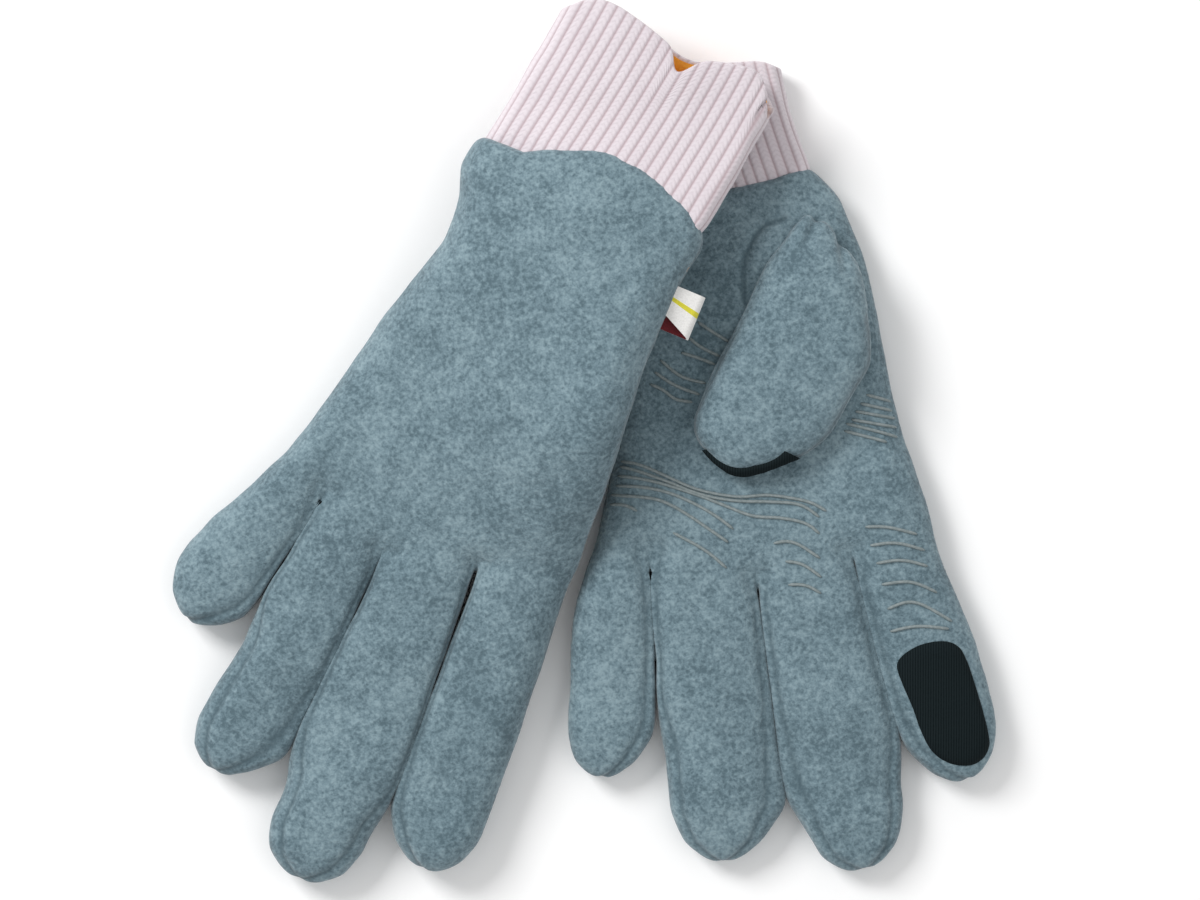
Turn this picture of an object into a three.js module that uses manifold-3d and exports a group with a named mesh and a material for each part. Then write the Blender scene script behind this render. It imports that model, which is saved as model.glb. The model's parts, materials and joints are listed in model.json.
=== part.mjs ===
// A pair of lined winter gloves with touch pads, lying flat with the right glove on the left one.
// Units are millimetres, +Z is up and the gloves rest on z = 0. The left glove lies palm up with its
// thumb folded over the palm. The right glove lies palm down across it, with its thumb tucked under.
import * as THREE from "three";
import { mergeVertices } from "three/addons/utils/BufferGeometryUtils.js";
import Module from "manifold-3d";

const wasm = await Module();
wasm.setup();

const DEG = Math.PI / 180;

// Fabric and section sizes
const FLEECE = 1.8; // wall of the outer fabric
const RIB = 2.4; // wall of the doubled rib cuff
const LINING = 0.8; // wall of the lining
const GAP = 0.3; // clearance between neighbouring pieces
const EDGE_RADIUS = 8; // how far in from its edge a panel rolls over
const ROOT_GAP = 0.5; // between the hand and a finger, along the finger
const SIDE_GAP = 0.7; // half the clearance between neighbouring fingers
const SEAM_TURN = 2; // degrees round the edge that a seam stays open
const GUSSET_TURN = 58; // where a gusset meets the back and the palm, in degrees round the edge
const PAD = 0.8; // thickness of a touch pad
const THUMB_WALL = 2; // wall of the outer fabric of the thumb
const LEAST_HALF_WIDTH = 0.6; // a wall never closes up further than this
const LEAST_HALF_THICK = 0.4;
const EDGE_TURNS = [30, 60, 90]; // columns round an edge, in degrees
const GUSSET_SPLIT_TURN = 20; // inner columns of a gusset, in degrees
const PAD_TURN = 65; // where a touch pad stops, in degrees round the edge

// Lengths and shares along the fingers and thumbs
const FULL_WIDTH_FROM = 16; // a finger is at its full width this far from its root
const MIDDLE_PAST = 6; // its middle station lies this far past halfway
const TIP_SHARES = [0, 0.6, 0.9, 1]; // stations over a round tip, as shares of its radius
const TIP_END_CHORD = 0.03; // squared share of the width that is left at the very tip
const TIP_SLIM = 0.3; // share of the thickness that is left at the very tip
const THUMB_STARTS = [0, 6, 14, 24]; // stations of the thumb's root
const THUMB_SLIMS = [0.4, 0.8, 1, 1]; // share of the full thickness at each of them

// Heights that the right glove is draped over
const PAD_LIFT = 1.2; // the touch pads keep the fabric this far off the table
const DRAPE_RISE = 24.5; // lower glove, plus the tucked thumb
const DRAPE_FROM_X = -75;
const DRAPE_TO_X = 12;
const FINGERS_FLAT_Y = -50; // the fingers lie on the table up to here
const HAND_UP_Y = 10;
const CUFF_SAG = 0.35; // share of the rise that the cuff gives back
const CUFF_SAG_FROM_Y = 55;
const CUFF_SAG_TO_Y = 100;

const FABRICS = {
  fleece: { color: 0x788e99, roughness: 0.95 },
  rib: { color: 0xe2d3d8, roughness: 0.9 },
  lining: { color: 0xe8912a, roughness: 0.9 },
  pad: { color: 0x14191b, roughness: 0.8 },
  label: { color: 0xf2f0ec, roughness: 0.8 },
};

const smooth = (value, from, to) => THREE.MathUtils.smoothstep(value, from, to);

// Height of the right glove's underside above the table.
function drape(x, y) {
  const across = smooth(x, DRAPE_FROM_X, DRAPE_TO_X);
  const along = smooth(y, FINGERS_FLAT_Y, HAND_UP_Y);
  const sag = CUFF_SAG * smooth(y, CUFF_SAG_FROM_Y, CUFF_SAG_TO_Y);
  return PAD_LIFT + DRAPE_RISE * across * (along - sag);
}

// Plan outlines: each station across the hand is [left edge, right edge, bow towards the wrist].
// Knuckles are the five corners of the finger roots, from the little finger to the index finger.
// A finger is the centre and the radius of its tip, and its width halfway along.
const GLOVES = {
  left: {
    palmSide: 1, // the palm faces +Z
    thick: 13, // laid flat and pressed, outside to outside
    height: () => 0,
    cuffEnd: [[-7, 107], [57, 110.5], 0],
    cuffMiddle: [[-3, 89], [61, 96], 1],
    hand: [
      [[1.5, 71], [66.5, 80.5], 2],
      [[2.5, 64], [75, 72], 1],
      [[4, 52], [80.5, 57], 0],
      [[7, 31], [86, 36], 0],
      [[7, 8], [91, 9], 0],
      [[6, -12], [95.5, -6], 0],
    ],
    knuckles: [[3.5, -27], [19.1, -24.5], [49.3, -35], [76.3, -27], [101.5, -24]],
    fingers: {
      little: { tip: [6.8, -82.5], radius: 12, width: 24 },
      ring: { tip: [39.3, -105.5], radius: 15.2, width: 30 },
      middle: { tip: [78.4, -108], radius: 15, width: 31 },
      index: { tip: [107.9, -84.5], radius: 13.2, width: 28.5 },
    },
    thumb: {
      base: [69.5, 66],
      tip: [53, 13],
      radius: 18.5,
      thick: 10,
      widths: [12, 24, 33, 37],
    },
  },
  right: {
    palmSide: -1,
    thick: 15,
    height: drape,
    draped: true,
    cuffEnd: [[-6.5, 127.2], [54.5, 96], 1],
    cuffMiddle: [[-18, 107], [45.5, 79.5], 5],
    hand: [
      [[-29.6, 88], [34.8, 61.2], 8],
      [[-34.8, 79.5], [34.4, 56], 6],
      [[-37, 64], [28.5, 47], 2],
      [[-53.7, 39.5], [18.8, 26], 0],
      [[-67.5, 22], [13, 7.5], 0],
      [[-80.5, 7.5], [6.5, -14], 0],
    ],
    knuckles: [[-87, -1], [-72.5, -10], [-57, -28.5], [-29.6, -31], [-2.5, -38.5]],
    fingers: {
      little: { tip: [-108.6, -41.6], radius: 12, width: 23.5 },
      ring: { tip: [-100.9, -84.4], radius: 12.2, width: 25 },
      middle: { tip: [-77.2, -113], radius: 14.4, width: 28.5 },
      index: { tip: [-42.4, -110.2], radius: 13.2, width: 27.5 },
    },
    thumb: {
      base: [12, 50],
      tip: [-17, 13],
      radius: 12.5,
      thick: 10.5,
      widths: [12, 20, 25, 26],
    },
  },
};

const FINGERS = ["little", "ring", "middle", "index"];
// Distance along the thumb at which its palm half starts, past the hole in the palm
const THUMB_PALM_START = 24;
const THUMB_LIFT = 1.9; // between the palm and the thumb folded over it
const CUTTER_DEEP = 100; // deeper than either glove
const THUMB_HOLE = { at: 12.5, long: 17, wide: 15 };

const LABEL = {
  seamFrom: [29.4, 45.2],
  seamTo: [24.8, 34.2],
  reach: 8.2, // out from the seam
  loop: 3.4, // thickness of the folded loop
  ribbon: 0.8,
};

const pair = new THREE.Group();

function addPiece(name, geometry, fabric) {
  const material = new THREE.MeshStandardMaterial({ ...FABRICS[fabric], metalness: 0 });
  const mesh = new THREE.Mesh(geometry, material);
  mesh.name = name;
  pair.add(mesh);
}

// Signed volume of an indexed geometry: negative where its faces point inwards.
function signedVolume(positions, index) {
  const a = new THREE.Vector3();
  const b = new THREE.Vector3();
  const c = new THREE.Vector3();
  let sum = 0;
  for (let i = 0; i < index.length; i += 3) {
    a.fromArray(positions, index[i] * 3);
    b.fromArray(positions, index[i + 1] * 3);
    c.fromArray(positions, index[i + 2] * 3);
    sum += a.dot(b.cross(c)) / 6;
  }
  return sum;
}

// A closed wall between an outer and an inner grid of points. point(row, column, inner) gives a
// Vector3. Where the columns wrap, the wall is a tube, open at its first and last row.
function wallGeometry(rows, columns, wraps, point) {
  const positions = [];
  const layer = rows * columns;
  for (const inner of [false, true])
    for (let row = 0; row < rows; row++)
      for (let column = 0; column < columns; column++)
        positions.push(...point(row, column, inner).toArray());
  const index = [];
  const quad = (a, b, c, d) => index.push(a, b, c, a, c, d);
  const at = (row, column) => row * columns + (column % columns);
  const spans = wraps ? columns : columns - 1;
  for (let row = 0; row < rows - 1; row++)
    for (let column = 0; column < spans; column++) {
      const ring = [
        at(row, column),
        at(row, column + 1),
        at(row + 1, column + 1),
        at(row + 1, column),
      ];
      const [a, b, c, d] = ring.map((i) => i + layer);
      quad(...ring);
      quad(a, d, c, b);
    }
  const rim = (a, b) => quad(b, a, a + layer, b + layer);
  for (let column = 0; column < spans; column++) {
    rim(at(0, column), at(0, column + 1));
    rim(at(rows - 1, column + 1), at(rows - 1, column));
  }
  if (!wraps)
    for (let row = 0; row < rows - 1; row++) {
      rim(at(row + 1, 0), at(row, 0));
      rim(at(row, columns - 1), at(row + 1, columns - 1));
    }
  if (signedVolume(positions, index) < 0) index.reverse();
  const geometry = new THREE.BufferGeometry();
  geometry.setAttribute("position", new THREE.Float32BufferAttribute(positions, 3));
  geometry.setIndex(index);
  return geometry;
}

// A station is a line across a soft tube: across(distance from the middle) gives its plan point.
function straightStation(left, right, bow, thick, middle) {
  const from = new THREE.Vector2(...left);
  const to = new THREE.Vector2(...right);
  const width = from.distanceTo(to);
  const side = to.clone().sub(from).divideScalar(width);
  const up = new THREE.Vector2(-side.y, side.x);
  const centre = from.clone().add(to).divideScalar(2);
  const across = (distance) => {
    const share = (2 * distance) / width;
    return centre
      .clone()
      .addScaledVector(side, distance)
      .addScaledVector(up, bow * (1 - share * share));
  };
  return { width, thick, middle, across };
}

// A station along the knuckles.
function knuckleStation(corners, thick) {
  const points = corners.map(([x, y]) => new THREE.Vector2(x, y));
  const width = points[0].distanceTo(points[4]);
  const across = (distance) => {
    const place = THREE.MathUtils.clamp((distance / width + 0.5) * 4, 0, 4);
    const corner = Math.min(Math.floor(place), 3);
    return points[corner].clone().lerp(points[corner + 1], place - corner);
  };
  return { width, thick, middle: thick / 2, across };
}

// A station part of the way from one station to the next.
function stationBetween(from, to, share) {
  const width = THREE.MathUtils.lerp(from.width, to.width, share);
  const across = (distance) =>
    from
      .across((distance * from.width) / width)
      .lerp(to.across((distance * to.width) / width), share);
  return { ...to, width, across };
}

// A column is a place round the section: an angle round one edge, or a share of the flat.
const edge = (side, angle) => ({ side, angle });
const flat = (share, sign) => ({ side: 0, share, angle: 90 * sign });

// A point of the wall, inset from the outside by a depth. Angles above 0 are on the palm side.
function sectionPoint(glove, station, column, inset) {
  const halfWidth = Math.max(station.width / 2 - inset, LEAST_HALF_WIDTH);
  const halfThick = Math.max(station.thick / 2 - inset, LEAST_HALF_THICK);
  const edgeRadius = Math.min(EDGE_RADIUS, station.width / 2) - inset;
  const radius = Math.max(edgeRadius, LEAST_HALF_THICK);
  const angle = column.angle * DEG;
  const rolled = column.side * (halfWidth - radius * (1 - Math.cos(angle)));
  const distance = column.side ? rolled : (column.share * station.width) / 2;
  const plan = station.across(distance);
  const rise = station.middle + glove.palmSide * halfThick * Math.sin(angle);
  return new THREE.Vector3(plan.x, plan.y, glove.height(plan.x, plan.y) + rise);
}

function stripGeometry(glove, stations, columns, inset, wall, wraps = false) {
  return wallGeometry(stations.length, columns.length, wraps, (row, column, inner) =>
    sectionPoint(glove, stations[row], columns[column], inset + (inner ? wall : 0)),
  );
}

// Columns of one face: the palm (sign 1) from right to left, or the back (sign -1) from left to
// right, so that palm and back follow each other round a tube.
function faceColumns(sign, rightTurn, leftTurn, shares = []) {
  const turns = (from) => [from, ...EDGE_TURNS.filter((turn) => turn > from)];
  const columns = [
    ...turns(rightTurn).map((turn) => edge(1, sign * turn)),
    ...shares.map((share) => flat(share, sign)),
    ...turns(leftTurn)
      .reverse()
      .map((turn) => edge(-1, sign * turn)),
  ];
  return sign > 0 ? columns : columns.reverse();
}

const HAND_SHARES = [0.5, 0, -0.5];
const TUBE_COLUMNS = [
  ...faceColumns(1, 0, EDGE_TURNS[0], HAND_SHARES),
  ...faceColumns(-1, EDGE_TURNS[0], 0, HAND_SHARES),
];

function toSolid(geometry) {
  const plain = new THREE.BufferGeometry();
  plain.setAttribute("position", geometry.getAttribute("position"));
  plain.setIndex(geometry.getIndex());
  const merged = mergeVertices(plain, 1e-4);
  return new wasm.Manifold(
    new wasm.Mesh({
      numProp: 3,
      vertProperties: merged.attributes.position.array,
      triVerts: new Uint32Array(merged.index.array),
    }),
  );
}

function toGeometry(solid) {
  const mesh = solid.getMesh();
  const geometry = new THREE.BufferGeometry();
  geometry.setAttribute("position", new THREE.Float32BufferAttribute(mesh.vertProperties, 3));
  geometry.setIndex([...mesh.triVerts]);
  return geometry;
}

// An upright oval cutter over the thumb's root.
function thumbCutter(path, margin) {
  const centre = path.centre.clone().addScaledVector(path.along, THUMB_HOLE.at);
  const oval = new THREE.Shape().absellipse(
    centre.x,
    centre.y,
    THUMB_HOLE.long / 2 + margin,
    THUMB_HOLE.wide / 2 + margin,
    0,
    2 * Math.PI,
    false,
    Math.atan2(path.along.y, path.along.x),
  );
  const cutter = new THREE.ExtrudeGeometry(oval, {
    depth: CUTTER_DEEP,
    curveSegments: 3,
    bevelEnabled: false,
  });
  return toSolid(cutter.deleteAttribute("normal").deleteAttribute("uv"));
}

const cutBy = (geometry, cutter) => toGeometry(toSolid(geometry).subtract(cutter));

// Plan direction of a finger or thumb, and the sideways direction to its right.
function pathBetween(base, tip) {
  const centre = new THREE.Vector2(...base);
  const end = new THREE.Vector2(...tip);
  const along = end.clone().sub(centre);
  const reach = along.length();
  along.divideScalar(reach);
  const aside = new THREE.Vector2(-along.y, along.x);
  return { centre, along, aside, reach };
}

// A station square to a path, at a distance along it.
function pathStation(path, distance, width, thick, middle) {
  const centre = path.centre.clone().addScaledVector(path.along, distance);
  const right = centre.clone().addScaledVector(path.aside, width / 2);
  const left = centre.clone().addScaledVector(path.aside, -width / 2);
  return straightStation(left.toArray(), right.toArray(), 0, thick, middle);
}

// Stations over a round tip: width and thickness follow a quarter circle.
function tipStations(path, radius, thick, middleOf) {
  return TIP_SHARES.map((share) => {
    const chord = Math.sqrt(Math.max(1 - share * share, TIP_END_CHORD));
    const slim = thick * (TIP_SLIM + (1 - TIP_SLIM) * chord);
    const distance = path.reach + share * radius;
    return pathStation(path, distance, 2 * radius * chord, slim, middleOf(slim));
  });
}

// The stations of a finger, from its slanted root to its tip.
function fingerStations(glove, path, finger, rootLeft, rootRight) {
  const middle = glove.thick / 2;
  const inward = (point, sign) =>
    new THREE.Vector2(...point)
      .addScaledVector(path.along, ROOT_GAP)
      .addScaledVector(path.aside, sign * SIDE_GAP)
      .toArray();
  const root = straightStation(
    inward(rootLeft, 1),
    inward(rootRight, -1),
    0,
    glove.thick,
    middle,
  );
  const nearRoot = (root.width + finger.width) / 2;
  const halfway = path.reach / 2 + MIDDLE_PAST;
  const rootWidth = Math.min(nearRoot, finger.width);
  return [
    root,
    pathStation(path, FULL_WIDTH_FROM, rootWidth, glove.thick, middle),
    pathStation(path, halfway, finger.width, glove.thick, middle),
    ...tipStations(path, finger.radius, glove.thick, () => middle),
  ];
}

function buildFinger(side, name, glove, number) {
  const finger = glove.fingers[name];
  const rootLeft = glove.knuckles[number];
  const rootRight = glove.knuckles[number + 1];
  const rootMiddle = [(rootLeft[0] + rootRight[0]) / 2, (rootLeft[1] + rootRight[1]) / 2];
  const path = pathBetween(rootMiddle, finger.tip);
  const stations = fingerStations(glove, path, finger, rootLeft, rootRight);
  const open = GUSSET_TURN + SEAM_TURN;
  const rightTurn = name === "index" ? SEAM_TURN : open;
  const leftTurn = name === "little" ? SEAM_TURN : open;
  for (const [face, sign] of [["palm", 1], ["back", -1]]) {
    const columns = faceColumns(sign, rightTurn, leftTurn);
    addPiece(
      `${side}_${name}_${face}`,
      stripGeometry(glove, stations, columns, 0, FLEECE),
      "fleece",
    );
  }
  const turn = GUSSET_TURN - SEAM_TURN;
  const gussets = [["outer", -1, name !== "little"], ["inner", 1, name !== "index"]];
  for (const [place, edgeSide, present] of gussets) {
    if (!present) continue;
    const turns = [-turn, -GUSSET_SPLIT_TURN, GUSSET_SPLIT_TURN, turn];
    const columns = turns.map((angle) => edge(edgeSide, angle));
    addPiece(
      `${side}_${name}_gusset_${place}`,
      stripGeometry(glove, stations, columns, 0, FLEECE),
      "fleece",
    );
  }
  if (name === "index") buildPad(`${side}_index_touch_pad`, glove, stations.slice(2, 5), 1);
}

// A touch pad is a thin patch just outside the palm face of its finger.
function buildPad(name, glove, stations, sign) {
  const columns = faceColumns(sign, PAD_TURN, PAD_TURN);
  const lifted = -(GAP + PAD);
  addPiece(name, stripGeometry(glove, stations, columns, lifted, PAD), "pad");
}

function buildThumb(side, glove) {
  const { base, tip, radius, thick, widths } = glove.thumb;
  const path = pathBetween(base, tip);
  const level = (slim) => palmLevel(glove, THUMB_LIFT + slim / 2);
  const root = THUMB_STARTS.map((distance, i) => {
    const slim = thick * THUMB_SLIMS[i];
    return pathStation(path, distance, widths[i], slim, level(slim));
  });
  const cap = tipStations(path, radius, thick, level);
  const backColumns = faceColumns(1, SEAM_TURN, SEAM_TURN);
  const palmColumns = faceColumns(-1, SEAM_TURN, SEAM_TURN);
  const whole = [...root, ...cap];
  const past = [
    pathStation(path, THUMB_PALM_START, widths[3], thick, level(thick)),
    ...cap,
  ];
  addPiece(
    `${side}_thumb_back`,
    stripGeometry(glove, whole, backColumns, 0, THUMB_WALL),
    "fleece",
  );
  addPiece(
    `${side}_thumb_palm`,
    stripGeometry(glove, past, palmColumns, 0, THUMB_WALL),
    "fleece",
  );
  buildPad(`${side}_thumb_touch_pad`, glove, past.slice(1, 4), -1);
  return path;
}

// Height above the glove's underside of a point this far out from its palm face.
function palmLevel(glove, outward) {
  return glove.thick / 2 + glove.palmSide * (glove.thick / 2 + outward);
}

// Stations from the wrist seam to the knuckles, with more of them where the hand is draped.
function handStations(glove) {
  const rows = glove.hand.map(([left, right, bow]) =>
    straightStation(left, right, bow, glove.thick, glove.thick / 2),
  );
  rows.push(knuckleStation(glove.knuckles, glove.thick));
  const split = (i) => i && (glove.draped || i === rows.length - 1);
  const between = (i) => stationBetween(rows[i - 1], rows[i], 0.5);
  return rows.flatMap((row, i) => (split(i) ? [between(i), row] : [row]));
}

function buildHand(side, glove, thumbPath) {
  const stations = handStations(glove);
  const lining = stations.slice(0, -1);
  const back = faceColumns(-1, SEAM_TURN, SEAM_TURN, HAND_SHARES);
  const palm = faceColumns(1, SEAM_TURN, SEAM_TURN, HAND_SHARES);
  addPiece(`${side}_back_panel`, stripGeometry(glove, stations, back, 0, FLEECE), "fleece");
  const palmPanel = stripGeometry(glove, stations, palm, 0, FLEECE);
  addPiece(`${side}_palm_panel`, halfCut(glove, palmPanel, thumbPath, 0), "fleece");
  const inset = FLEECE + GAP;
  const tube = stripGeometry(glove, lining, TUBE_COLUMNS, inset, LINING, true);
  addPiece(`${side}_hand_lining`, halfCut(glove, tube, thumbPath, 0.5), "lining");
}

// Cuts the thumb hole through the palm side only.
function halfCut(glove, geometry, thumbPath, margin) {
  const cutter = thumbCutter(thumbPath, margin);
  const centre = thumbPath.centre.clone().addScaledVector(thumbPath.along, THUMB_HOLE.at);
  const middle = glove.height(centre.x, centre.y) + glove.thick / 2;
  const low = glove.palmSide > 0 ? middle : middle - CUTTER_DEEP;
  return cutBy(geometry, cutter.translate([0, 0, low]));
}

function buildCuff(side, glove) {
  const [left, right, bow] = glove.hand[0];
  const seam = straightStation(left, right, bow, glove.thick, glove.thick / 2);
  const away = new THREE.Vector2(...glove.cuffEnd[0]).sub(new THREE.Vector2(...left));
  away.setLength(ROOT_GAP);
  const start = { ...seam, across: (distance) => seam.across(distance).add(away) };
  const rest = [glove.cuffMiddle, glove.cuffEnd].map(([from, to, curve]) =>
    straightStation(from, to, curve, glove.thick, glove.thick / 2),
  );
  const stations = [start, ...rest];
  addPiece(
    `${side}_rib_cuff`,
    stripGeometry(glove, stations, TUBE_COLUMNS, 0, RIB, true),
    "rib",
  );
  addPiece(
    `${side}_cuff_facing`,
    stripGeometry(glove, stations, TUBE_COLUMNS, RIB + GAP, LINING, true),
    "lining",
  );
}

// The loop label: a ribbon folded double, with its two ends in the side seam and its loop outside.
function buildLabel(glove) {
  const seam = pathBetween(LABEL.seamFrom, LABEL.seamTo);
  const half = LABEL.loop / 2;
  const inside = half - LABEL.ribbon;
  const bend = LABEL.reach - half;
  const profile = new THREE.Shape()
    .moveTo(0, -half)
    .lineTo(bend, -half)
    .absarc(bend, 0, half, -Math.PI / 2, Math.PI / 2, false)
    .lineTo(0, half)
    .lineTo(0, inside)
    .lineTo(bend, inside)
    .absarc(bend, 0, inside, Math.PI / 2, -Math.PI / 2, true)
    .lineTo(0, -inside);
  const ribbon = new THREE.ExtrudeGeometry(profile, {
    depth: seam.reach,
    curveSegments: 4,
    bevelEnabled: false,
  });
  const outward = new THREE.Vector3(seam.aside.x, seam.aside.y, 0);
  const along = new THREE.Vector3(seam.along.x, seam.along.y, 0);
  const upward = new THREE.Vector3().crossVectors(along, outward);
  const start = new THREE.Vector3(seam.centre.x, seam.centre.y, 0);
  start.z = glove.height(seam.centre.x, seam.centre.y) + glove.thick / 2;
  const place = new THREE.Matrix4().makeBasis(outward, upward, along).setPosition(start);
  addPiece("right_loop_label", ribbon.applyMatrix4(place), "label");
}

for (const [side, glove] of Object.entries(GLOVES)) {
  buildCuff(side, glove);
  const thumbPath = buildThumb(side, glove);
  buildHand(side, glove, thumbPath);
  FINGERS.forEach((name, number) => buildFinger(side, name, glove, number));
  if (side === "right") buildLabel(glove);
}

export default pair;
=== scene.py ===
# %% [markdown]
# # Touchscreen gloves
#
# A pair of lined winter gloves: grey-teal melange fleece, a pale pink double rib cuff, an orange
# lining, black conductive pads on the index fingers and thumbs, printed grip lines on the palm and
# a small loop label in the thumb-side seam. The right glove lies back up across the left one, which
# lies palm up with its thumb folded over the palm.
#
# Each cell explains a step first and then does it. Lengths are in millimetres until a mesh is made.

import json
import math

import bmesh
import bpy
import numpy as np
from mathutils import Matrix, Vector, noise
from mathutils.bvhtree import BVHTree
from mathutils.kdtree import KDTree


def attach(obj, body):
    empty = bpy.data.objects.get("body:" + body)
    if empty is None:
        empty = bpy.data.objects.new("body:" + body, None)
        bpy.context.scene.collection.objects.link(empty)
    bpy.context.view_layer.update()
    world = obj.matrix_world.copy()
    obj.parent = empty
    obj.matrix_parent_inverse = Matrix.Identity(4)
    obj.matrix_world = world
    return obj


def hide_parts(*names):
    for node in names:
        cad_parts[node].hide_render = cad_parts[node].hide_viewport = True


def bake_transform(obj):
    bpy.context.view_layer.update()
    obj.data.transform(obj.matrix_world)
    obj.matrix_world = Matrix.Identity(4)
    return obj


MM = 0.001
UP = np.array([0.0, 0.0, 1.0])
FINGERS = ["little", "ring", "middle", "index"]
SIDES = ["left", "right"]


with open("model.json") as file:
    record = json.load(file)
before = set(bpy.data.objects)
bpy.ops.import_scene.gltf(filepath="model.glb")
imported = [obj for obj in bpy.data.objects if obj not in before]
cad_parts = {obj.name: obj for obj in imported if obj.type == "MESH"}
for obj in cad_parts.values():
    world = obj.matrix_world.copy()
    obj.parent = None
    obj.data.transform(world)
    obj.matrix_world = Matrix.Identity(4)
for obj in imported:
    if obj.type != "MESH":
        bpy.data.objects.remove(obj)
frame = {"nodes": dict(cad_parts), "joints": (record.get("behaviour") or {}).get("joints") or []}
joints = {joint["name"]: joint for joint in frame["joints"]}
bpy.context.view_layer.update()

# %% [markdown]
# ## Driving dimensions
#
# Fabric sizes, and how strongly each soft effect shows. A seam on fleece is a rounded valley about
# 3 mm wide, because the two layers are sewn right sides together and turned out.

# %% Dimensions
VOXEL = 0.9  # grid that the skins are made on
CELL = 12.0  # the hand is filled with blocks of this size
CELL_LAP = 0.4
ROOT_LAP = 7.0  # how far a finger's solid reaches into the hand
SKIN = 1.2  # wall of a skin piece
SMOOTH_ROUNDS = 14
SEAM_DEPTH = 0.85
SEAM_WIDTH = 1.2
PALM_SEAM_WIDTH = 1.1
WEB_REACH = 4.0  # the web between two fingers
WEB_HALF = 1.6
CROTCH_ROUNDS = 50
CROTCH_REACH = 8.0
LEAN_REACH = 15.0  # fingers closer together than this lean on each other
LEAN_GAP = 0.4
LEAN_ROUNDS = 18
LEAN_PASSES = ((45, 1.1), (10, 1.4))  # rounds and gain: the second closes what the first leaves
LEAN_MOST = 4.6
LEAN_FADE = (3.0, 24.0)  # they stop leaning this far from the tips
LEAN_FACING = 0.6  # a point leans where its normal faces the neighbour this much
LEAN_FLOOR = 0.12  # keeps the spread of the leaning from growing at its edge
PUFF_CAP = 1.6  # how far the pressed fabric may swell
PUFF_SIDEWAYS = 0.2  # share of the swelling kept sideways, so that fingers stay apart
LOWEST = {"left": 0.2, "right": 1.25}  # the right index finger lies on its pad
OPEN_END = 1.9  # the skin is open where it is further than this from any panel
HEM_REACH = 16.0  # the fleece follows its hem over this length

# %% [markdown]
# ## Mesh tools
#
# Small helpers on plain arrays: reading a CAD node, the convex hull of a cloud of points, merging
# overlapping solids with a voxel remesh, averaging neighbours to round a surface, and making a
# named object from points and faces.


# %% Arrays and objects
def read_mesh(mesh):
    points = np.empty(len(mesh.vertices) * 3, dtype=np.float32)
    mesh.vertices.foreach_get("co", points)
    return points.reshape(-1, 3).astype(float) / MM


def read_triangles(mesh):
    mesh.calc_loop_triangles()
    triangles = np.empty(len(mesh.loop_triangles) * 3, dtype=np.int32)
    mesh.loop_triangles.foreach_get("vertices", triangles)
    return triangles.reshape(-1, 3)


def node_points(name):
    return read_mesh(frame["nodes"][name].data)


def nodes_tree(names):
    """One search tree over several CAD nodes, and the node that each of its faces comes from."""
    points, triangles, owner, total = [], [], [], 0
    for number, name in enumerate(names):
        mesh = frame["nodes"][name].data
        own = read_triangles(mesh)
        points.append(read_mesh(mesh))
        triangles.append(own + total)
        owner += [number] * len(own)
        total += len(mesh.vertices)
    tree = BVHTree.FromPolygons(np.vstack(points).tolist(), np.vstack(triangles).tolist())
    return tree, np.array(owner)


def plain_mesh(name, points, faces):
    mesh = bpy.data.meshes.new(name)
    mesh.from_pydata((np.asarray(points) * MM).tolist(), [], [list(face) for face in faces])
    mesh.validate()
    return mesh


def add_object(name, mesh, material=None):
    made = bpy.data.objects.new(name, mesh)
    bpy.context.scene.collection.objects.link(made)
    if material:
        mesh.materials.append(material)
    return made


def smooth_shaded(mesh):
    mesh.polygons.foreach_set("use_smooth", [True] * len(mesh.polygons))


def turn_faces_out(mesh):
    bm = bmesh.new()
    bm.from_mesh(mesh)
    bmesh.ops.recalc_face_normals(bm, faces=bm.faces)
    bm.to_mesh(mesh)
    bm.free()


def hull(points):
    """Points and faces of a convex hull."""
    bm = bmesh.new()
    for point in points:
        bm.verts.new(point)
    made = bmesh.ops.convex_hull(bm, input=bm.verts)
    loose = {item for item in made["geom_interior"] + made["geom_unused"]}
    bmesh.ops.delete(
        bm, geom=[item for item in loose if isinstance(item, bmesh.types.BMVert)], context="VERTS"
    )
    bm.verts.index_update()
    vertices = [vert.co[:] for vert in bm.verts]
    faces = [[vert.index for vert in face.verts] for face in bm.faces]
    bm.free()
    return np.array(vertices), faces


def joined(solids):
    points, faces, total = [], [], 0
    for own, own_faces in solids:
        points.append(own)
        faces += [[index + total for index in face] for face in own_faces]
        total += len(own)
    return np.vstack(points), faces


def voxel_skin(solids, voxel):
    """The outside of overlapping solids, as points and quads on an even grid."""
    points, faces = joined(solids)
    blank = add_object("blank", plain_mesh("blank", points, faces))
    remesh = blank.modifiers.new("remesh", "REMESH")
    remesh.mode = "VOXEL"
    remesh.voxel_size = voxel * MM
    evaluated = blank.evaluated_get(bpy.context.evaluated_depsgraph_get())
    mesh = bpy.data.meshes.new_from_object(evaluated)
    bpy.data.objects.remove(blank)
    made = read_mesh(mesh)
    quads = np.array([poly.vertices[:] for poly in mesh.polygons if len(poly.vertices) == 4])
    bpy.data.meshes.remove(mesh)
    return largest_island(made, quads)


def largest_island(points, quads):
    label = np.arange(len(points))
    edges = edges_of(quads)
    while True:
        low = np.minimum(label[edges[:, 0]], label[edges[:, 1]])
        before = label.copy()
        np.minimum.at(label, edges[:, 0], low)
        np.minimum.at(label, edges[:, 1], low)
        label = label[label]
        if np.array_equal(before, label):
            break
    biggest = np.bincount(label).argmax()
    keep = label == biggest
    renumber = np.cumsum(keep) - 1
    return points[keep], renumber[quads[keep[quads[:, 0]]]]


def edges_of(quads):
    pairs = np.vstack([quads[:, [i, (i + 1) % 4]] for i in range(4)])
    return np.unique(np.sort(pairs, axis=1), axis=0)


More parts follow.
